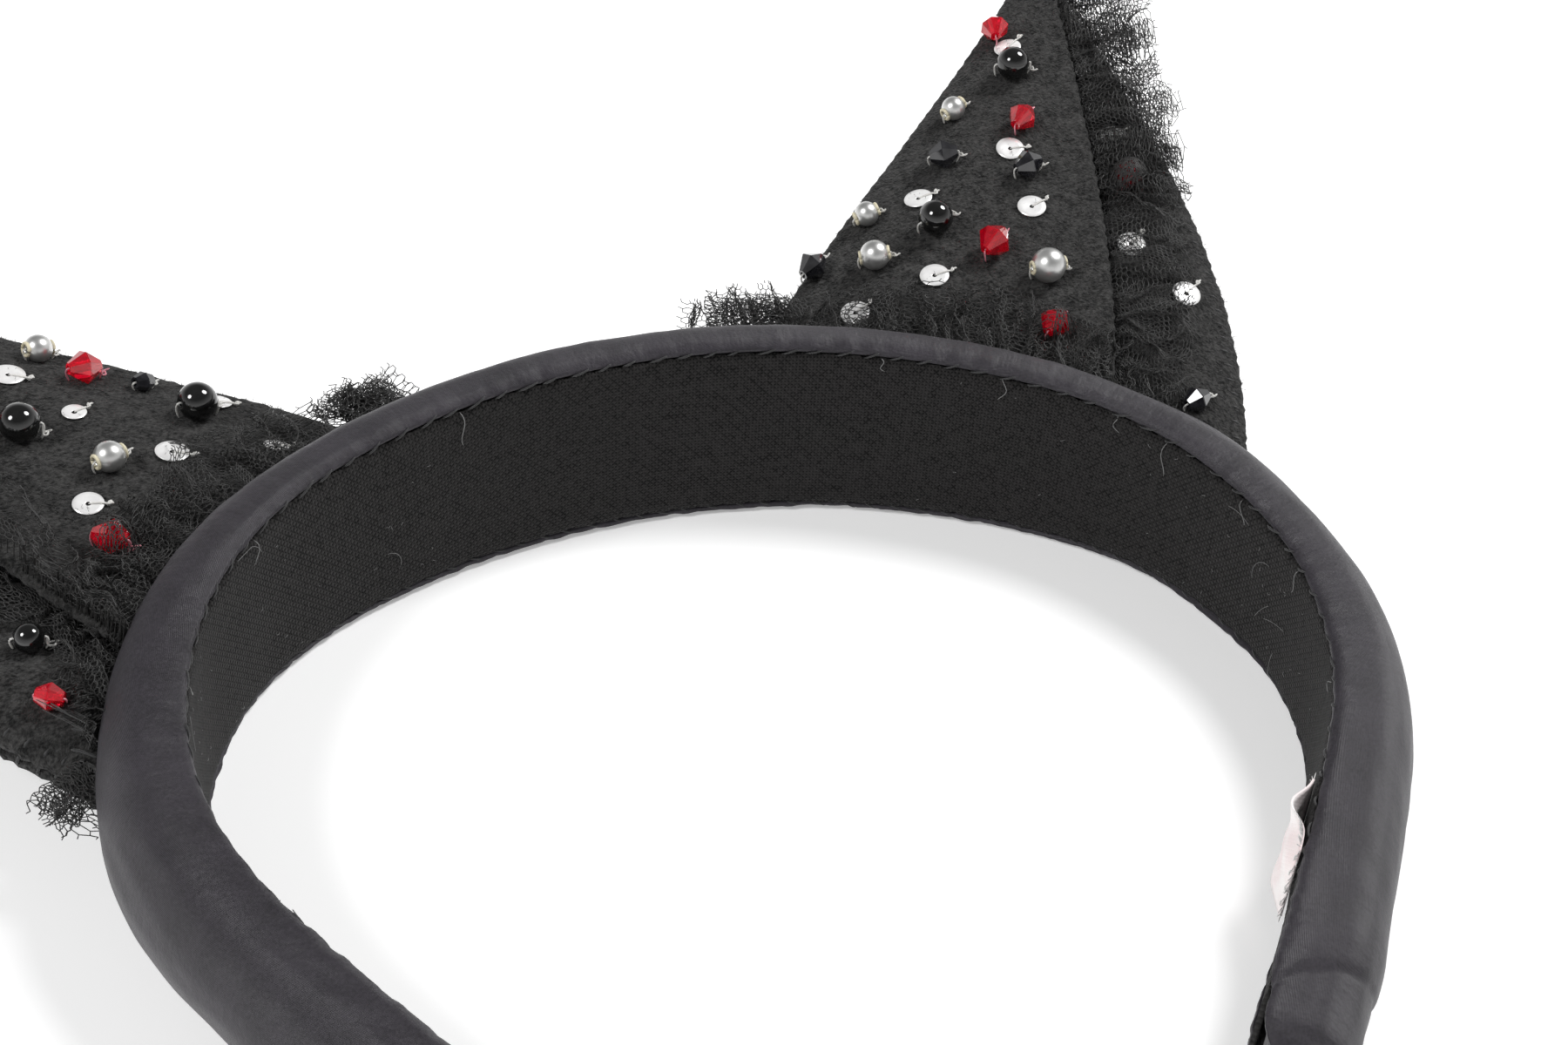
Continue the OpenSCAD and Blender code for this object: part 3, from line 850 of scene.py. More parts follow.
PATH_S = np.linspace(-BAND_LEN, BAND_LEN, 900)
PATH_XY = plan(PATH_S)[0] + CROWN_AT[:2]


def outside_band(p):
    """Signed gap in plan between points and the satin's surface at their height."""
    d = np.linalg.norm(p[:, None, :2] - PATH_XY[None], axis=2)
    i = d.argmin(1)
    _, out = plan(PATH_S[i])
    r = ((p[:, :2] - PATH_XY[i]) * out).sum(1)
    return r - bulge_radius(PATH_S[i], p[:, 2])


ROOT_LOW, ROOT_HIGH, ROOT_STEP = -24, 14, 0.25  # where along the ear its root is looked for


def root_line(side, u, n, gap=0.0):
    """Along-ear place where the ear meets the satin, for each u."""
    u = np.asarray(u, float)
    best = np.full(len(u), float(ROOT_LOW))
    for v in np.arange(ROOT_LOW, ROOT_HIGH, ROOT_STEP):
        inside = outside_band(on_ear(side, u, np.full(len(u), v), n)) < gap
        best = np.where(inside, v, best)
    return best


def main_top(u, v):
    """Front surface of the main panel: bowed, turned down at the inner edge, lifted at the crease."""
    left, right = edge_u(INNER, v), edge_u(CREASE, v)
    q = np.clip((right - u) / np.maximum(right - left, 0.5), 0, 1)
    wide = np.clip((right - left) / 30, 0.15, 1)
    down = 2.5 * np.clip((q - 0.5) / 0.5, 0, 1) ** 2.2
    lip = 0.55 * np.exp(-((q / 0.09) ** 2))
    return FRONT_TOP + wide * (0.9 * np.sin(math.pi * q) - down) + lip + 0.16 * rough_a(u, v, 16)


def side_top(u, v):
    """Front surface of the side panel: a valley beside the crease, turned down at the outer edge."""
    left, right = edge_u(CREASE, v), edge_u(OUTER, v)
    q = np.clip((u - left) / np.maximum(right - left, 0.5), -1, 1.1)
    down = 1.5 * np.clip((q - 0.55) / 0.45, 0, 1.2) ** 2
    return SIDE_TOP + 0.7 * np.sin(math.pi * np.clip(q, 0, 1)) - down + 0.16 * rough_b(u, v, 14)


def back_top(u, v):
    left, right = edge_u(CREASE, v), edge_u(OUTER, v)
    q = np.clip((u - left) / np.maximum(right - left, 0.5), 0, 1.1)
    inner = np.clip((edge_u(INNER, v) + 5 - u) / 5, 0, 1)
    return BACK_TOP - 1.5 * np.clip((q - 0.55) / 0.45, 0, 1.2) ** 2 + 0.35 * inner


def surface_n(u, v):
    """Front of whichever panel shows at u, v."""
    u, v = np.broadcast_arrays(np.asarray(u, float), np.asarray(v, float))
    return np.where(u < edge_u(CREASE, v), main_top(u, v), side_top(u, v))


def felt_panel(name, side, left, right, top, thick, node_name, inset=0.0, material="felt", tip_v=90.6):
    """A felt or wadding panel between two edge curves. Returns the piece and its flat area.

    Felt is fitted to the satin at its root; wadding stops short of it."""
    felt = material == "felt"
    columns, rows = (52, 120) if felt else (20, 40)
    root_gap = inset - 0.5 if felt else 6.0
    w = np.linspace(0, 1, columns)
    v0 = np.zeros(columns)
    for _ in range(3):
        u0 = left(v0) + (right(v0) - left(v0)) * w
        v0 = root_line(side, u0, top(u0, v0) - thick / 2, root_gap)
    rings, area = [], 0.0
    for k in np.linspace(0, 1, rows) ** 0.9:
        v = v0 + k * (tip_v - v0)
        a, b = left(v) + inset, right(v) - inset
        close = np.clip((tip_v - v) / 2.0, 0, 1) ** 0.5
        middle = (a + b) / 2
        u = middle + (a + (b - a) * w - middle) * np.maximum(close, 0.15)
        wobble = 0.16 * np.sin(2 * math.pi * v / 2.35)
        u = u + np.where(w > 0.97, wobble, 0) - np.where(w < 0.03, 0.5 * wobble, 0)
        up = top(u, v) + 0.09 * rough_c(u, v, 2.1) + 0.06 * rough_a(u, v, 1.1)
        down = top(u, v) - thick + 0.05 * rough_b(u, v, 2.3)
        bow = thick * 0.32
        last = [on_ear(side, u[-1:] + bow, v[-1:], up[-1:] - thick * d) for d in (0.3, 0.7)]
        first = [on_ear(side, u[:1] - bow, v[:1], up[:1] - thick * d) for d in (0.7, 0.3)]
        back = on_ear(side, u[::-1], v[::-1], down[::-1])
        rings.append(np.vstack([on_ear(side, u, v, up), *last, back, *first]))
        area += (b - a).mean() * (tip_v - v0.mean()) / rows
    obj = loft(name, rings, MAT[material])
    fit_in(obj, [node_name])
    return obj, area


def at_root(obj):
    """Bakes the transform of a felt, net or stitch piece at the ear's root into its mesh."""
    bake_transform(obj)


def felt_ear(side):
    """The three felt panels of an ear and the wadding between them."""
    head = side + "_ear_"
    inner = lambda v: edge_u(INNER, v)
    outer = lambda v: edge_u(OUTER, v)
    crease = lambda v: edge_u(CREASE, v)
    under = lambda v: np.maximum(crease(v) - TUCK, inner(v) + 1.0)
    tucked_top = lambda u, v: np.where(u < crease(v) - 2, SIDE_TOP, side_top(u, v))
    panels = (
        ("front", inner, crease, main_top, (0.052, 0.1)),
        ("side", under, outer, tucked_top, (0.04, 0.1)),
        ("back", inner, outer, back_top, (0.07, 0.102)),
    )
    for kind, left, right, top, flat in panels:
        obj, area = felt_panel(head + kind, side, left, right, top, FELT_T, head + kind + "_felt")
        at_root(obj)
    pad_top = lambda u, v: main_top(u, v) - FELT_T - 0.15
    pad, _ = felt_panel(head + "pad", side, inner, lambda v: crease(v) - TUCK, pad_top, 1.2,
                        head + "wadding", inset=1.5, material="wadding", tip_v=60.0)
    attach(pad, side + "_ear")


def overcast(side):
    """Thread wrapped over the felt's outer edge, with a stitch every couple of millimetres."""
    rng = side_random(side, SEED["overcast"])
    paths = []
    v = float(root_line(side, np.array([34.0]), np.array([0.0]))[0]) + 4
    while v < 88:
        u = float(edge_u(OUTER, v))
        slant = rng.uniform(0.6, 1.1)
        t = np.linspace(0, 1, 11)
        turn = math.pi * (t - 0.5)
        reach = rng.uniform(1.9, 2.6)
        uu = u + 0.62 - reach * (1 - np.cos(turn))
        vv = v + slant * (t - 0.5)
        top = side_top(uu, vv) + 0.05
        low = back_top(uu, vv) - FELT_T - 0.05
        nn = (top + low) / 2 + (top - low) / 2 * -np.sin(turn)
        paths.append(on_ear(side, uu, vv, nn))
        v += rng.uniform(2.0, 2.7)
    obj = tubes(side + "_ear_overcast", paths, THREAD_R["overcast"], MAT["thread"])
    fit_in(obj, [side + "_ear_edge_stitches"], side + "_ear")


def root_stitches(side):
    """Long stitches over the felt where the ear is sewn down."""
    rng = side_random(side, SEED["root"])
    paths = []
    lift = 0.18 * np.sin(np.linspace(0, math.pi, 8))
    for u in np.arange(-30, 33, 3.1):
        for front in (True, False):
            uu = u + rng.uniform(-0.5, 0.5) + np.linspace(0, 1.2, 8)
            n_at = surface_n(np.array([u]), np.array([2.0])) if front else np.array([BACK_TOP - FELT_T])
            v0 = float(root_line(side, np.array([u]), n_at)[0])
            vv = np.linspace(v0 - 0.3, v0 + rng.uniform(2.6, 3.8), 8)
            nn = surface_n(uu, vv) + lift if front else back_top(uu, vv) - FELT_T - lift
            paths.append(on_ear(side, uu, vv, nn))
    obj = tubes(side + "_root_stitching", paths, THREAD_R["root"], MAT["thread"])
    fit_in(obj, [side + "_ear_base_stitches"])
    at_root(obj)


# ---- net ----
CELL, STRAND = 0.85, 0.115
RAGGED = 1.7


def honeycomb(length, height, rng):
    """Ends of the threads of a hexagonal net that fills a strip, in the strip's flat coordinates.

    The free edge is raw, so some threads near it are missing."""
    dx, dy = CELL, CELL * math.sqrt(3) / 2
    i, j = np.meshgrid(np.arange(int(length / dx)), np.arange(int(height / dy)), indexing="ij")
    low = np.stack([(i + 0.5 * (j % 2)) * dx, j * dy + dy / 6], -1).reshape(-1, 2)
    starts = np.vstack([low, low, low])
    stops = np.vstack([low + [0, dy * 2 / 3], low + [-dx / 2, -dy / 3], low + [dx / 2, -dy / 3]])
    inside = (stops > 0).all(1) & (stops < [length, height]).all(1)
    ragged = rng.uniform(0, 1, len(stops)) < np.clip((stops[:, 1] - height + RAGGED) / 2.6, 0, 1)
    return starts[inside & ~ragged], stops[inside & ~ragged]


def net_piece(name, side, length, height, mapping, nodes, seed):
    """A strip of net, mapped from its flat cut to where it lies. The lowest strip replaces the CAD's net."""
    starts, stops = honeycomb(length, height, np.random.default_rng(seed))
    a = mapping(starts[:, 0], starts[:, 1])
    b = mapping(stops[:, 0], stops[:, 1])
    if not nodes:
        shown = beside_beads(side, (a + b) / 2)
        a, b = a[shown], b[shown]
    obj = strands(name, a, b, EARS[side][3], STRAND, MAT["net"])
    fit_in(obj, nodes)
    at_root(obj)


def beside_beads(side, points):
    """False for threads over a bead of the main panel: there only the lowest layer of net is whole."""
    _, across, along, _ = EARS[side]
    beside = np.ones(len(points), bool)
    for u, v, kind in beads_of(side):
        if covered(u, v) and u < edge_u(CREASE, v):
            gap = points - on_ear(side, u, v, surface_n(u, v))
            beside &= (gap @ across) ** 2 + (gap @ along) ** 2 > (0.62 * SIZE[kind][0]) ** 2
    return beside


def bead_clearance(side, u, v):
    """Height that a net must keep to pass over the beads beneath it."""
    need = np.full(np.broadcast(u, v).shape, -99.0)
    for bu, bv, kind in beads_of(side):
        if not covered(bu, bv):
            continue
        tall = SIZE[kind][1]
        reach = SIZE[kind][0] / 2 + 0.9
        d2 = ((u - bu) ** 2 + (v - bv) ** 2) / reach ** 2
        base = float(surface_n(np.array([bu]), np.array([bv]))[0])
        need = np.maximum(need, base + (tall + 0.25) * np.clip(1 - d2, 0, 1) ** 0.5 - 9 * (d2 > 1))
    return need


CREASE_COVER, ROOT_COVER = 12, 12.5  # trimmings this near the crease, or below this v, lie under net


def covered(u, v):
    """True where a trimming lies under the net."""
    if u > edge_u(CREASE, v):
        return u < edge_u(CREASE, v) + CREASE_COVER and not (v < 10 and u > 20)
    return v < ROOT_COVER


RUFFLES = {
    "lower": {"width": 17.5, "length": 128.0, "gather": 9.5, "stand": 0.0, "first": -2.5},
    "upper": {"width": 15.0, "length": 146.0, "gather": 7.5, "stand": 0.0, "first": -2.5},
    "crest": {"width": 19.5, "length": 112.0, "gather": 5.0, "stand": 0.0, "first": 40.0},
    "folded": {"width": 12.5, "length": 110.0, "gather": 6.5, "stand": 1.0, "first": 3.0},
}


def side_ruffle(side, layer):
    """Net gathered into the crease, spreading over the side panel and past its edge."""
    order = list(RUFFLES).index(layer)
    seed = (41 if side == "right" else 45) + order
    wave_a, wave_b, wave_c = smooth_noise(seed), smooth_noise(seed + 50), smooth_noise(seed + 90)
    width, length, pitch, stand, first = RUFFLES[layer].values()
    low_share = 0.85 if side == "right" else 0.33

    def mapping(a, b):
        t = a / length
        v0 = first + t * (88.5 - first)
        u0 = edge_u(CREASE, v0) - 2.5
        fade = np.clip(0.4 + 5 * (1 - t), 0, 1)
        open_up = np.clip(b / width, 0, 1)
        phase = 2 * math.pi * (a / pitch + 1.3 * wave_a(a, 0.5 * b, 26)) + 2.1 * order
        pleat = np.clip(b / 5, 0, 1)
        trim = (1 + 0.07 * wave_c(a, 0 * a, 22)) * np.interp(v0, [4, 24], [low_share, 1])
        frill = np.clip((v0 - 34) / 12, 0, 1) * np.clip((b - 6) / 6, 0, 1)
        out = b * fade * trim * (0.9 + 0.05 * np.cos(phase))
        sideways = pleat * (1.15 * np.sin(phase) + 0.8 * np.sin(0.37 * phase))
        v = v0 + 0.05 * out + sideways + 0.7 * wave_b(a, b, 6)
        v = v + 0.5 * frill * np.sin(phase)
        curl = stand * np.clip((b - 2.5) / 6, 0, 1) * np.clip((48 - v0) / 14, 0, 1)
        u = u0 + out * (1 - 1.45 * curl) + 0.4 * wave_b(a, b, 10) * open_up
        swing = pleat * (0.35 + 0.7 * open_up) * (1 - np.cos(phase)) * (0.95 + 0.9 * frill)
        lift = 0.4 + 0.4 * order + swing + 0.4 * np.clip(wave_a(a, b, 8), -0.4, 1) * open_up
        past = np.clip((u - edge_u(OUTER, v)) / 6, 0, 1)
        base = side_top(np.minimum(u, edge_u(OUTER, v)), v) + 1.2 * past
        under = u < edge_u(CREASE, v)
        hidden = np.where(b < 4, SIDE_TOP + 0.35, main_top(np.minimum(u, edge_u(CREASE, v)), v) + lift)
        n = np.where(under, hidden, base + lift + stand * 2.6 * np.sin(math.pi * open_up))
        n = np.where(under & (b < 4), n, np.maximum(n, bead_clearance(side, u, v)))
        return on_ear(side, u, v, n)

    nodes = [side + "_side_ruffle"] if layer == "lower" else []
    net_piece(side + "_crease_net_" + layer, side, length, width, mapping, nodes, seed)


BASE_SHARE = {
    "right": ([-45, -30, 17, 26, 40], [1.15, 1, 1, 0.25, 0.2]),
    "left": ([-45, -30, -10, 3, 7, 12, 16, 24, 29, 30.4, 30.6],
             [1.2, 1, 0.92, 0.76, 0.68, 0.8, 0.95, 0.65, 0.2, 0.2, 0.8]),
}
TAIL_SPREAD, TAIL_DROOP = 6.0, 0.3
ROOT_NETS = {
    "lower": {"right": (-33, 31), "left": (-34, 31), "cut": (104.0, 14.5), "gather": 8.5, "sunk": 1.0},
    "upper": {"right": (-34, 31), "left": (-35, 31), "cut": (118.0, 12.0), "gather": 7.5, "sunk": 1.0},
    "short": {"right": (-35, 30), "left": (-35, 30), "cut": (150.0, 10.2), "gather": 5.5, "sunk": 4.0},
    "corner": {"right": (-35.6, -29), "left": (-35.5, -30), "cut": (78.0, 12.5), "gather": 4.2, "sunk": 1.0},
    "tuft": {"right": (-40.2, -37.4), "left": (-37.6, -33.6), "cut": (24.0, 12.0), "gather": 5.0,
             "sunk": 1.0},
    "tail": {"right": None, "left": (33.4, 37.8), "cut": (38.0, 11.0), "gather": 5.0, "sunk": 2.0},
}


def base_ruffle(side, layer):
    """Net gathered along the root, lying up the front of the ear and past both its corners."""
    order = list(ROOT_NETS).index(layer)
    seed = (61 if side == "right" else 68) + order
    wave_a, wave_b, wave_c = smooth_noise(seed), smooth_noise(seed + 50), smooth_noise(seed + 90)
    spec = ROOT_NETS[layer]
    length, height = spec["cut"]
    gather, sunk = spec["gather"], spec["sunk"]
    first, last = spec[side]
    fan = 0.2 if last - first < 10 else 0.0
    rank = min(order, 2)
    span = np.linspace(first - 2, last + 2, 80)
    lift_at = np.where(span < edge_u(CREASE, 0.0), FRONT_TOP, SIDE_TOP + 1)
    root = root_line(side, span, lift_at, 0.1)

    def mapping(a, b):
        t = a / length
        u0 = first + (last - first) * t
        v0 = np.interp(u0, span, root) - sunk
        share = np.interp(u0, *BASE_SHARE[side])
        open_up = np.clip(b / height, 0, 1)
        phase = 2 * math.pi * (a / gather + 1.3 * wave_a(a, 0.5 * b, 26)) + 2.4 * order
        pleat = np.clip(b / 4, 0, 1)
        tall = 1 + 0.14 * wave_c(a, 0 * a, 9 if fan else 20)
        u = u0 + pleat * (1.05 * np.sin(phase) + 0.8 * np.sin(0.41 * phase)) + 0.7 * wave_b(a, b, 7)
        u = u - 0.12 * b * (u0 < -26) + fan * (t - 0.5) * b
        v = v0 + b * tall * share * (0.93 + 0.05 * np.cos(phase))
        if layer == "tail":
            u, v = first + b * tall * share, v0 + TAIL_SPREAD * t + u - u0
        swing = pleat * (0.3 + 0.9 * open_up) * (1 - np.cos(phase)) * (1.1 if fan else 0.95)
        edge = edge_u(INNER, v)
        n = surface_n(np.maximum(u, edge + 0.5), v) + 0.35 + 0.5 * rank + swing
        n = n + 1.5 * open_up * np.clip((-26 - u) / 6, 0, 1)
        n = n + 0.5 * np.clip(wave_a(a, b, 7), -0.3, 1) * open_up
        if layer == "tail":
            n = SIDE_TOP - TAIL_DROOP * b + 0.6 * swing
        n = np.where(v < 12.8, np.maximum(n, bead_clearance(side, u, v)), n)
        return on_ear(side, u, v, n)

    name = side + "_root_net_" + layer
    net_piece(name, side, length, height, mapping, [side + "_base_ruffle"] if order == 0 else [], seed)


# ---- trimmings: kind, then [across, along] places on each ear ----
SIZE = {"silver": (5.0, 5.0), "black": (5.0, 5.0), "red": (4.4, 4.3), "jet": (4.4, 4.3), "disc": (4.2, 0.6)}
LARGE = (-2, 23)
PLACES = {
    "right": {
        "silver": [(6, 20), (-18, 18.5), (-11, 50), (-20.5, 27.5)],
        "black": [(-3.5, 59.5), (-10.5, 26)],
        "red": [(-7, 68), (-1, 48.5), LARGE, (16, 42.5), (8, 10)],
        "jet": [(1, 39), (-11, 39.5), (-26.5, 16.5), (28.5, 2.5)],
        "disc": [(-5, 65.5), (-2, 43.5), (2.5, 32.5), (-14, 32), (-9.5, 17), (-19.5, 9),
                 (6.5, 65), (13, 51.5), (17.5, 30.5), (26, 22.5)],
    },
    "left": {
        "silver": [(-3.5, 18), (-15, 40), (2, 60)],
        "black": [(-18.5, 17.5), (-1, 29.5), (-6, 52), (22.5, 6.5)],
        "red": [(-15, 32.5), (2, 45), (-5, 68), (7, 8.5), (28, -1)],
        "jet": [(-19, 26.5), (-11, 60), (15.5, 45)],
        "disc": [(-9, 39), (-23.5, 18.5), (-8.5, 28), (-10.5, 14.5), (3, 15.5), (-20.5, 6.5),
                 (-1, 54), (-8, 45), (12, 58), (17, 38), (18, 25)],
    },
}


SEWING_DEG = {"right": 35, "left": 40}


def sewing_turn(side, u, v):
    """Which way a bead's hole runs, in degrees from the ear's across direction."""
    return SEWING_DEG[side] + 25 * math.sin(math.radians(97 * u + 53 * v))


def beads_of(side):
    return [(u, v, kind) for kind, places in PLACES[side].items() for u, v in places]


def local_frame(side, u, v):
    """A place on the ear's front, with two directions along the surface and its normal."""
    step = 0.4
    at = on_ear(side, u, v, surface_n(u, v))
    place = lambda du, dv: on_ear(side, u + du, v + dv, surface_n(u + du, v + dv))
    pu, pv = place(step, 0) - place(-step, 0), place(0, step) - place(0, -step)
    pu, pv = pu / np.linalg.norm(pu), pv / np.linalg.norm(pv)
    up = np.cross(pu, pv)
    up /= np.linalg.norm(up)
    if up @ EARS[side][3] < 0:
        up = -up
    return at, pu, np.cross(up, pu), up


def turned_frame(side, u, v, degrees):
    at, x, y, up = local_frame(side, u, v)
    mirror = 1 if side == "right" else -1
    c, s = math.cos(math.radians(degrees)), mirror * math.sin(math.radians(degrees))
    return at, c * x + s * y, c * y - s * x, up


def revolve(profile, sides, centre, axis, x, y, phase=0.0):
    """Points of a turned shape as rings; profile is a list of (along axis, radius)."""
    turn = np.linspace(0, 2 * math.pi, sides, endpoint=False) + phase
    ring = np.cos(turn)[:, None] * x + np.sin(turn)[:, None] * y
    return [centre + a * axis + r * ring for a, r in profile]


def beads(name, items, material, smooth, node_name, side):
    """Turned solids with a bore, joined in one piece. Each item is a list of rings that closes on itself."""
    points, faces = [], []
    for rings in items:
        count = len(rings[0])
        first = len(points)
        for ring in rings:
            points.extend(ring)
        faces += ring_faces(len(rings), count, True, first)
        last = first + (len(rings) - 1) * count
        for j in range(count):
            k = (j + 1) % count
            faces.append((last + j, first + j, first + k, last + k))
    fit_in(make_object(name, points, faces, material, smooth), [node_name], side + "_ear")


HOLE_R = 0.62
BICONE_HALF = 0.47  # half a bicone's length along its hole, as a share of its diameter


def pearl_rings(side, u, v, d, turn):
    at, x, y, up = turned_frame(side, u, v, turn)
    centre = at + up * (d / 2 - 0.1)
    start = math.asin(2 * HOLE_R / d)
    arc = np.linspace(start, math.pi - start, 21)
    outside = [(-d / 2 * math.cos(a), d / 2 * math.sin(a)) for a in arc]
    reach = d / 2 * math.cos(start)
    bore = [(reach - 0.25, HOLE_R * 0.82), (-reach + 0.25, HOLE_R * 0.82)]
    return revolve(outside + bore, 28, centre, x, y, up), centre, x


def bicone_rings(side, u, v, d, turn, spin):
    at, x, y, up = turned_frame(side, u, v, turn)
    centre = at + up * (d / 2 - 0.15)
    half = d * BICONE_HALF
    profile = [(-half, 0.8), (-0.08, d / 2), (0.08, d / 2), (half, 0.8), (half, 0.45), (-half, 0.45)]
    return revolve(profile, 8, centre, x, y, up, spin), centre, x


def disc_rings(side, u, v, size, turn, tip):
    at, x, y, up = turned_frame(side, u, v, turn)
    axis = up + tip * x
    axis /= np.linalg.norm(axis)
    x2 = np.cross(y, axis)
    d = SIZE["disc"][0] * size
    base = at + up * 0.18
    profile = [(0.0, 0.32), (0.0, 0.6), (0.01, 0.3 * d), (0.05, d / 2 - 0.1), (0.08, d / 2),
               (0.15, d / 2 - 0.02), (0.13, 0.33 * d), (0.09, 0.6), (0.06, 0.42), (0.05, 0.32)]
    return revolve(profile, 30, base, axis, x2, y), base, y


STITCH_TURN = 90  # turns a sequin so that its stitch lies along the same line as the beads' holes
SMALLER = {
    ("right", -11, 50): 0.72, ("right", -20.5, 27.5): 0.72, ("right", -18, 18.5): 0.86,
    ("right", 28.5, 2.5): 0.84, ("left", -3.5, 18): 0.78, ("left", -15, 40): 0.72,
    ("left", 22.5, 6.5): 0.7, ("left", 28, -1): 0.74, ("left", -19, 26.5): 0.62, ("left", 3, 15.5): 0.88,
    ("left", -8.5, 28): 0.72, ("left", -20.5, 6.5): 0.78, ("right", 6.5, 65): 0.6,
}
LARGER = 1.15
CRYSTAL_TURN = {"right": 50, "left": 10}
BEAD_KINDS = {
    "silver": ("_silver_pearls", "silver_pearl"),
    "black": ("_black_pearls", "black_pearl"),
    "red": ("_red_bicones", "red_crystal"),
    "jet": ("_black_bicones", "black_crystal"),
}


def trimmings(side):
    """The beads and sequins of an ear, with the threads that hold them."""
    rng = side_random(side, SEED["beads"])
    threads, tinted, rims = [], [], []
    for kind, (node_part, slot_name) in BEAD_KINDS.items():
        is_round = kind in ("silver", "black")
        items = []
        for u, v in PLACES[side][kind]:
            turn = sewing_turn(side, u, v)
            d = SIZE[kind][0] * SMALLER.get((side, u, v), 1.0)
            if is_round:
                rings, centre, x = pearl_rings(side, u, v, d, turn)
                half = d / 2
            else:
                d *= LARGER if (u, v) == LARGE else 1.0
                turn += CRYSTAL_TURN[side] if kind == "red" else 0
                rings, centre, x = bicone_rings(side, u, v, d, turn, rng.uniform(0, 1))
                half = d * BICONE_HALF
            items.append(rings)
            if kind == "silver":
                rims += bead_rims(centre, x, half)
            (tinted if kind == "red" else threads).extend(bead_thread(side, centre, x, half, v > 0, rng))
        beads(side + "_" + kind + "_beads", items, MAT[kind], is_round, side + node_part, side)
    discs = []
    for u, v in PLACES[side]["disc"]:
        size = SMALLER.get((side, u, v), 1.0)
        turn = sewing_turn(side, u, v) - STITCH_TURN
        rings, base, y = disc_rings(side, u, v, size, turn, rng.uniform(-0.16, 0.16))
        discs.append(rings)
        threads.extend(disc_stitch(side, base, y, size, rng))
    beads(side + "_sequin_discs", discs, MAT["sequin"], True, side + "_sequins", side)
    rim_obj = tubes(side + "_pearl_rims", rims, THREAD_R["rim"], MAT["cream"], ends=1.0)
    fit_in(rim_obj, body=side + "_ear")
    clear = tubes(side + "_clear_threads", threads, THREAD_R["clear"], MAT["nylon"])
    fit_in(clear, [side + "_bead_threads"], side + "_ear")
    pink = tubes(side + "_tinted_threads", tinted, THREAD_R["tinted"], MAT["pink_nylon"])
    fit_in(pink, body=side + "_ear")


def bead_rims(centre, x, half):
    """The cream core that shows as a ring round each end of a silvered bead's hole."""
    side_dir = np.cross(x, [0.2, 0.3, 0.93])
    side_dir /= np.linalg.norm(side_dir)
    other = np.cross(x, side_dir)
    turn = np.linspace(0, 2 * math.pi, 15)
    rings = []
    for m in (-1, 1):
        c = centre + m * x * (half * 0.945)
        rings.append([c + 0.82 * (math.cos(a) * side_dir + math.sin(a) * other) for a in turn])
    return rings


def bead_thread(side, centre, x, half, looped, rng):
    """Clear thread through a bead: a short leg to the felt at one end, a small knotted loop at the other."""
    down = -EARS[side][3]
    across = np.cross(x, down)
    tail_end = 1 if side == "right" else -1
    paths = []
    for m in (-1, 1):
        start = centre + m * x * (half - 0.8)
        mouth = centre + m * x * (half + 0.12)
        sway = rng.uniform(-0.25, 0.25)
        knee = mouth + m * x * 0.12 + down * half * 0.45 + across * sway
        foot = mouth - m * x * 0.25 + down * (half + 0.1) + across * sway
        paths.append(smooth_path([start, mouth, knee, foot] if looped else [start, mouth, knee]))
        if m != tail_end or not looped:
            continue
        low = mouth + down * half * rng.uniform(0.25, 0.6)
        out = low + m * x * rng.uniform(0.45, 0.8) + across * rng.uniform(0.25, 0.45)
        back = low + m * x * rng.uniform(0.5, 0.9) - across * rng.uniform(0.15, 0.45)
        paths.append(smooth_path([mouth, low + across * 0.3, out, back, low + m * x * 0.2], 13))
        end = back + m * x * rng.uniform(0.3, 0.8) - down * rng.uniform(0, 0.4)
        paths.append(smooth_path([low, back, end]))
    return paths


def disc_stitch(side, base, y, size, rng):
    """The stitch from a sequin's hole over its edge, with its small loop."""
    up = EARS[side][3]
    across = np.cross(y, up)
    r = SIZE["disc"][0] / 2 * size
    over = base + y * (r + 0.1) + up * 0.22
    foot = base + y * (r + 0.5) - up * 0.2
    paths = [smooth_path([base + up * 0.05, base + y * r * 0.5 + up * 0.24, over, foot])]
    loop = over + y * rng.uniform(0.4, 0.8) + up * rng.uniform(0.1, 0.4)
    lean = rng.uniform(0.2, 0.4)
    close = over + y * 0.25 + up * 0.1
    paths.append(smooth_path([over, loop + across * lean, loop - across * lean, close], 13))
    end = loop + y * rng.uniform(0.2, 0.6) + across * rng.uniform(-0.4, 0.4)
    paths.append(smooth_path([foot, loop, end]))
    return paths


# ---- fuzz and lint ----
FUZZ_COUNT, LINT_COUNT = 6500, 120
FUZZ_WIDTH = 0.04


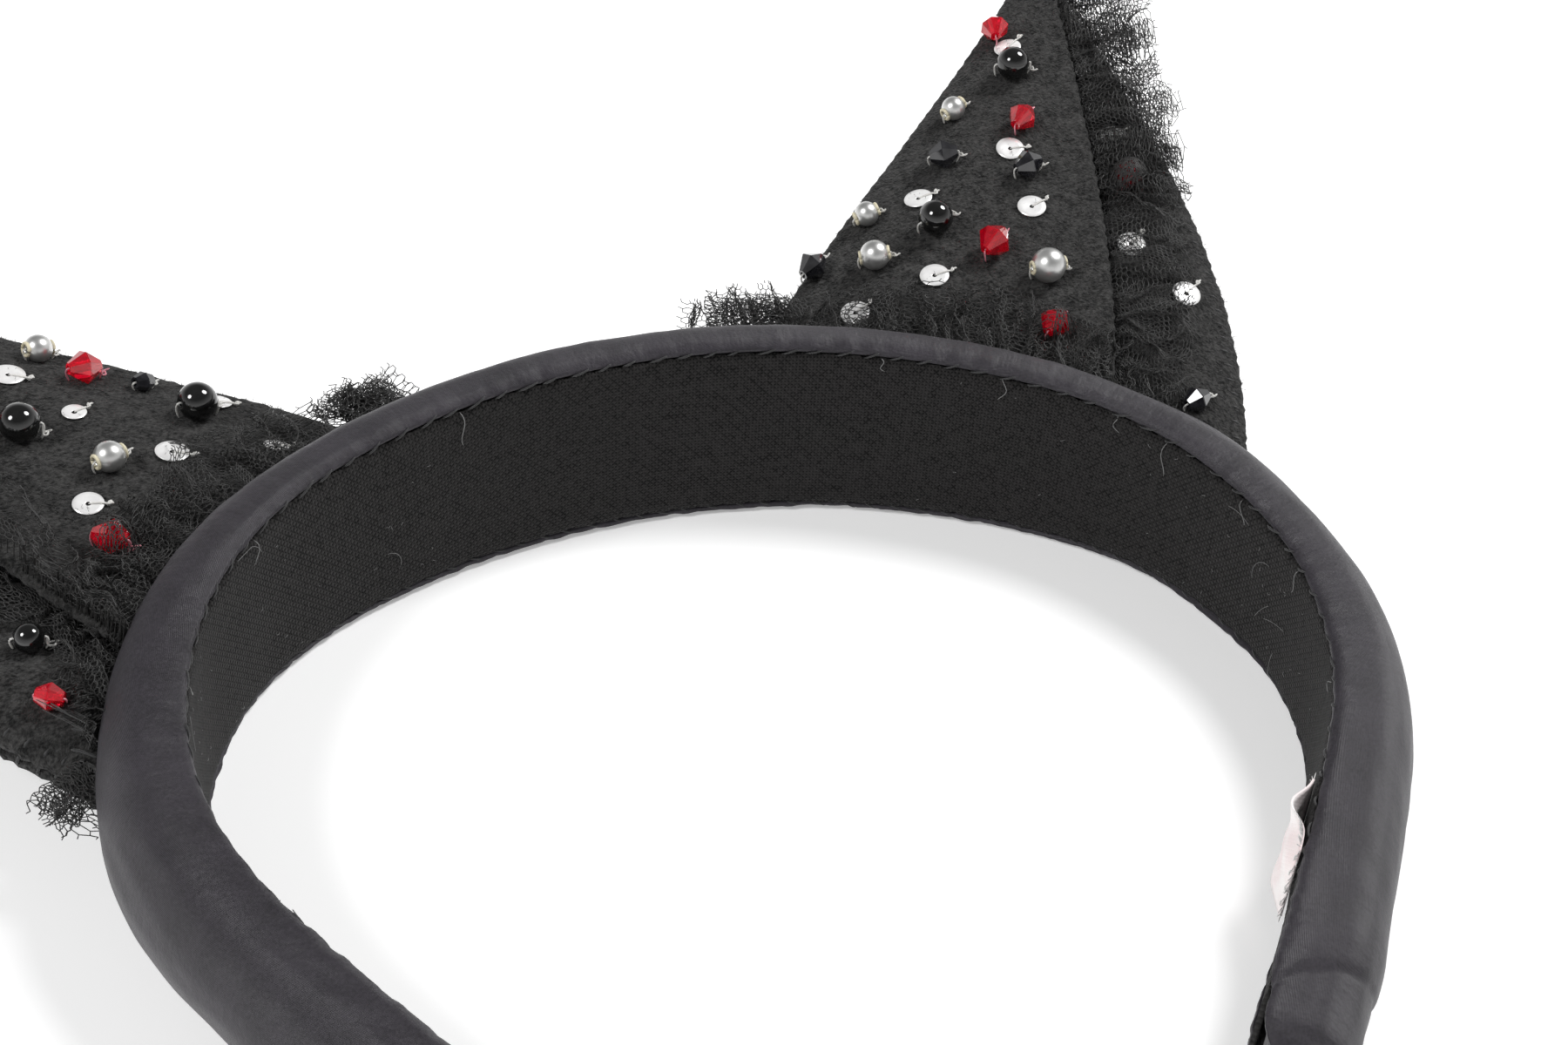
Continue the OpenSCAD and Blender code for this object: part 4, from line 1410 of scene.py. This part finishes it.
def felt_fuzz(side):
    """Short wool fibres that stand off the felt and its edges."""
    rng = side_random(side, SEED["fuzz"])
    count = FUZZ_COUNT
    v = 9 + 81 * rng.uniform(0, 1, count) ** 1.2
    w = rng.uniform(0, 1, count)
    edge = rng.uniform(0, 1, count) < 0.35
    w = np.where(edge, np.where(rng.uniform(0, 1, count) < 0.5, 0.0, 1.0), w)
    u = edge_u(INNER, v) + (edge_u(OUTER, v) - edge_u(INNER, v)) * w
    base = on_ear(side, u, v, surface_n(u, v) - np.where(edge, 0.5, 0.02))
    _, across, _, front = EARS[side]
    outward = np.where(w[:, None] < 0.5, -1, 1) * across
    direction = rng.normal(0, 0.75, (count, 3)) + np.where(edge[:, None], 0.9 * outward, 0.75 * front)
    direction /= np.linalg.norm(direction, axis=1, keepdims=True)
    length = rng.uniform(0.25, 0.8, (count, 1))
    bend = rng.normal(0, 0.3, (count, 3))
    middle = base + direction * length * 0.55
    end = base + (direction + bend) * length
    starts, stops = np.vstack([base, middle]), np.vstack([middle, end])
    obj = strands(side + "_felt_fuzz", starts, stops, front, FUZZ_WIDTH, MAT["fibre"])
    fit_in(obj, body=side + "_ear")


def lint():
    """Specks and a few curled hairs that cling to the lining."""
    rng = np.random.default_rng(SEED["lint"])
    halves = {"right": [], "left": []}
    t = np.linspace(0, 1, 14)
    for number in range(LINT_COUNT):
        s = rng.uniform(-BAND_LEN * 0.92, BAND_LEN * 0.92)
        if abs(s) < BLEND_HALF + 2:
            s += 2 * BLEND_HALF * (1 if s > 0 else -1)
        w = float(width_at(s))
        z = rng.uniform(2.5, w - 2.5)
        reach = rng.uniform(3, 7) if number % 12 == 0 else rng.uniform(0.15, 0.7)
        angle, turn = rng.uniform(0, 2 * math.pi), rng.uniform(-2.5, 2.5)
        heading_at = angle + turn * t
        ss = s + np.cumsum(np.cos(heading_at)) * reach / len(t)
        zz = np.clip(z + np.cumsum(np.sin(heading_at)) * reach / len(t), 1.8, w - 1.8)
        halves["right" if s > 0 else "left"].append(band_point(ss, -0.3 - 0.05 * np.sin(3 * t), zz))
    half_threads("_lint", halves, THREAD_R["lint"], 0.7)


# ---- floor, light and camera ----
CAMERA = {
    "azimuth": -17.71, "elevation": 36.51, "roll": 3.47,
    "distance": 266.5, "target": (13.9, -3.8, 0.0), "lens": 44.0,
}
FLOOR_HALF, FLOOR_GLOW = 3000.0, 0.28


def camera():
    """The camera at the photograph's viewing angle."""
    az, el, roll = (math.radians(CAMERA[k]) for k in ("azimuth", "elevation", "roll"))
    back = np.array([math.sin(az) * math.cos(el), -math.cos(az) * math.cos(el), math.sin(el)])
    right = np.array([math.cos(az), math.sin(az), 0.0])
    up = np.cross(back, right)
    r2 = math.cos(roll) * right + math.sin(roll) * up
    u2 = -math.sin(roll) * right + math.cos(roll) * up
    at = (np.array(CAMERA["target"]) + CROWN_AT + back * CAMERA["distance"]) * MM
    data = bpy.data.cameras.new("view_camera")
    data.lens, data.sensor_width = CAMERA["lens"], 36.0
    data.clip_start, data.clip_end = 0.01, 20.0
    obj = bpy.data.objects.new("view_camera", data)
    bpy.context.scene.collection.objects.link(obj)
    rows = [[r2[i], u2[i], back[i], at[i]] for i in range(3)] + [[0, 0, 0, 1]]
    obj.matrix_world = Matrix(rows)
    bpy.context.scene.camera = obj


def softbox(name, at, size, watts):
    """A round area light that faces the origin."""
    data = bpy.data.lights.new(name, "AREA")
    data.shape, data.size, data.energy = "DISK", size, watts
    obj = bpy.data.objects.new(name, data)
    bpy.context.scene.collection.objects.link(obj)
    obj.location = at
    obj.rotation_mode = "QUATERNION"
    obj.rotation_quaternion = (-Vector(at)).to_track_quat("-Z", "Y")


SOFTBOXES = {
    "left": {"towards": (-0.63, -0.23, 0.73), "size": 0.3, "watts": 4.0},
    "right": {"towards": (0.60, 0.13, 0.78), "size": 0.34, "watts": 6.2},
}
SOFTBOX_AT = 0.9


def white_room():
    """A pale horizon that fades to a dim ceiling, as in a studio with a white sweep."""
    world = bpy.data.worlds.new("white_room")
    world.use_nodes = True
    tree = world.node_tree
    where = node(tree, "ShaderNodeTexCoord")
    split = node(tree, "ShaderNodeSeparateXYZ")
    tree.links.new(where.outputs["Generated"], split.inputs[0])
    shade = ramp(tree, split.outputs["Z"], 0.1, 0.6, (0.95, 0.95, 0.95), (0.16, 0.16, 0.16))
    tree.links.new(shade, tree.nodes["Background"].inputs["Color"])
    return world


def studio():
    """White floor, pale room and two softboxes."""
    scene = bpy.context.scene
    scene.view_settings.view_transform = "Standard"
    scene.world = white_room()
    floor_mat, _, shader = principled("floor_white", (0.9, 0.9, 0.9), 0.8, Specular_IOR_Level=0.1)
    shader.inputs["Emission Color"].default_value = (1, 1, 1, 1)
    shader.inputs["Emission Strength"].default_value = FLOOR_GLOW
    corners = [(x * FLOOR_HALF, y * FLOOR_HALF, 0) for x, y in ((-1, -1), (1, -1), (1, 1), (-1, 1))]
    floor = make_object("floor", corners, [(0, 1, 2, 3)], floor_mat, False, None, False)
    for name, box in SOFTBOXES.items():
        at = [SOFTBOX_AT * c for c in box["towards"]]
        softbox("softbox_" + name, at, box["size"], box["watts"])


camera()
studio()
satin_cover()
band_inside()
woven_lining()
slip_stitches("front")
slip_stitches("rear")
loose_ends()
care_label()
label_fray()
label_stitching()
for ear_side in SIDES:
    felt_ear(ear_side)
    overcast(ear_side)
    root_stitches(ear_side)
    trimmings(ear_side)
    felt_fuzz(ear_side)
    for net_layer in RUFFLES:
        if net_layer != "folded" or ear_side == "left":
            side_ruffle(ear_side, net_layer)
    for net_layer, spec in ROOT_NETS.items():
        if spec[ear_side]:
            base_ruffle(ear_side, net_layer)
lint()
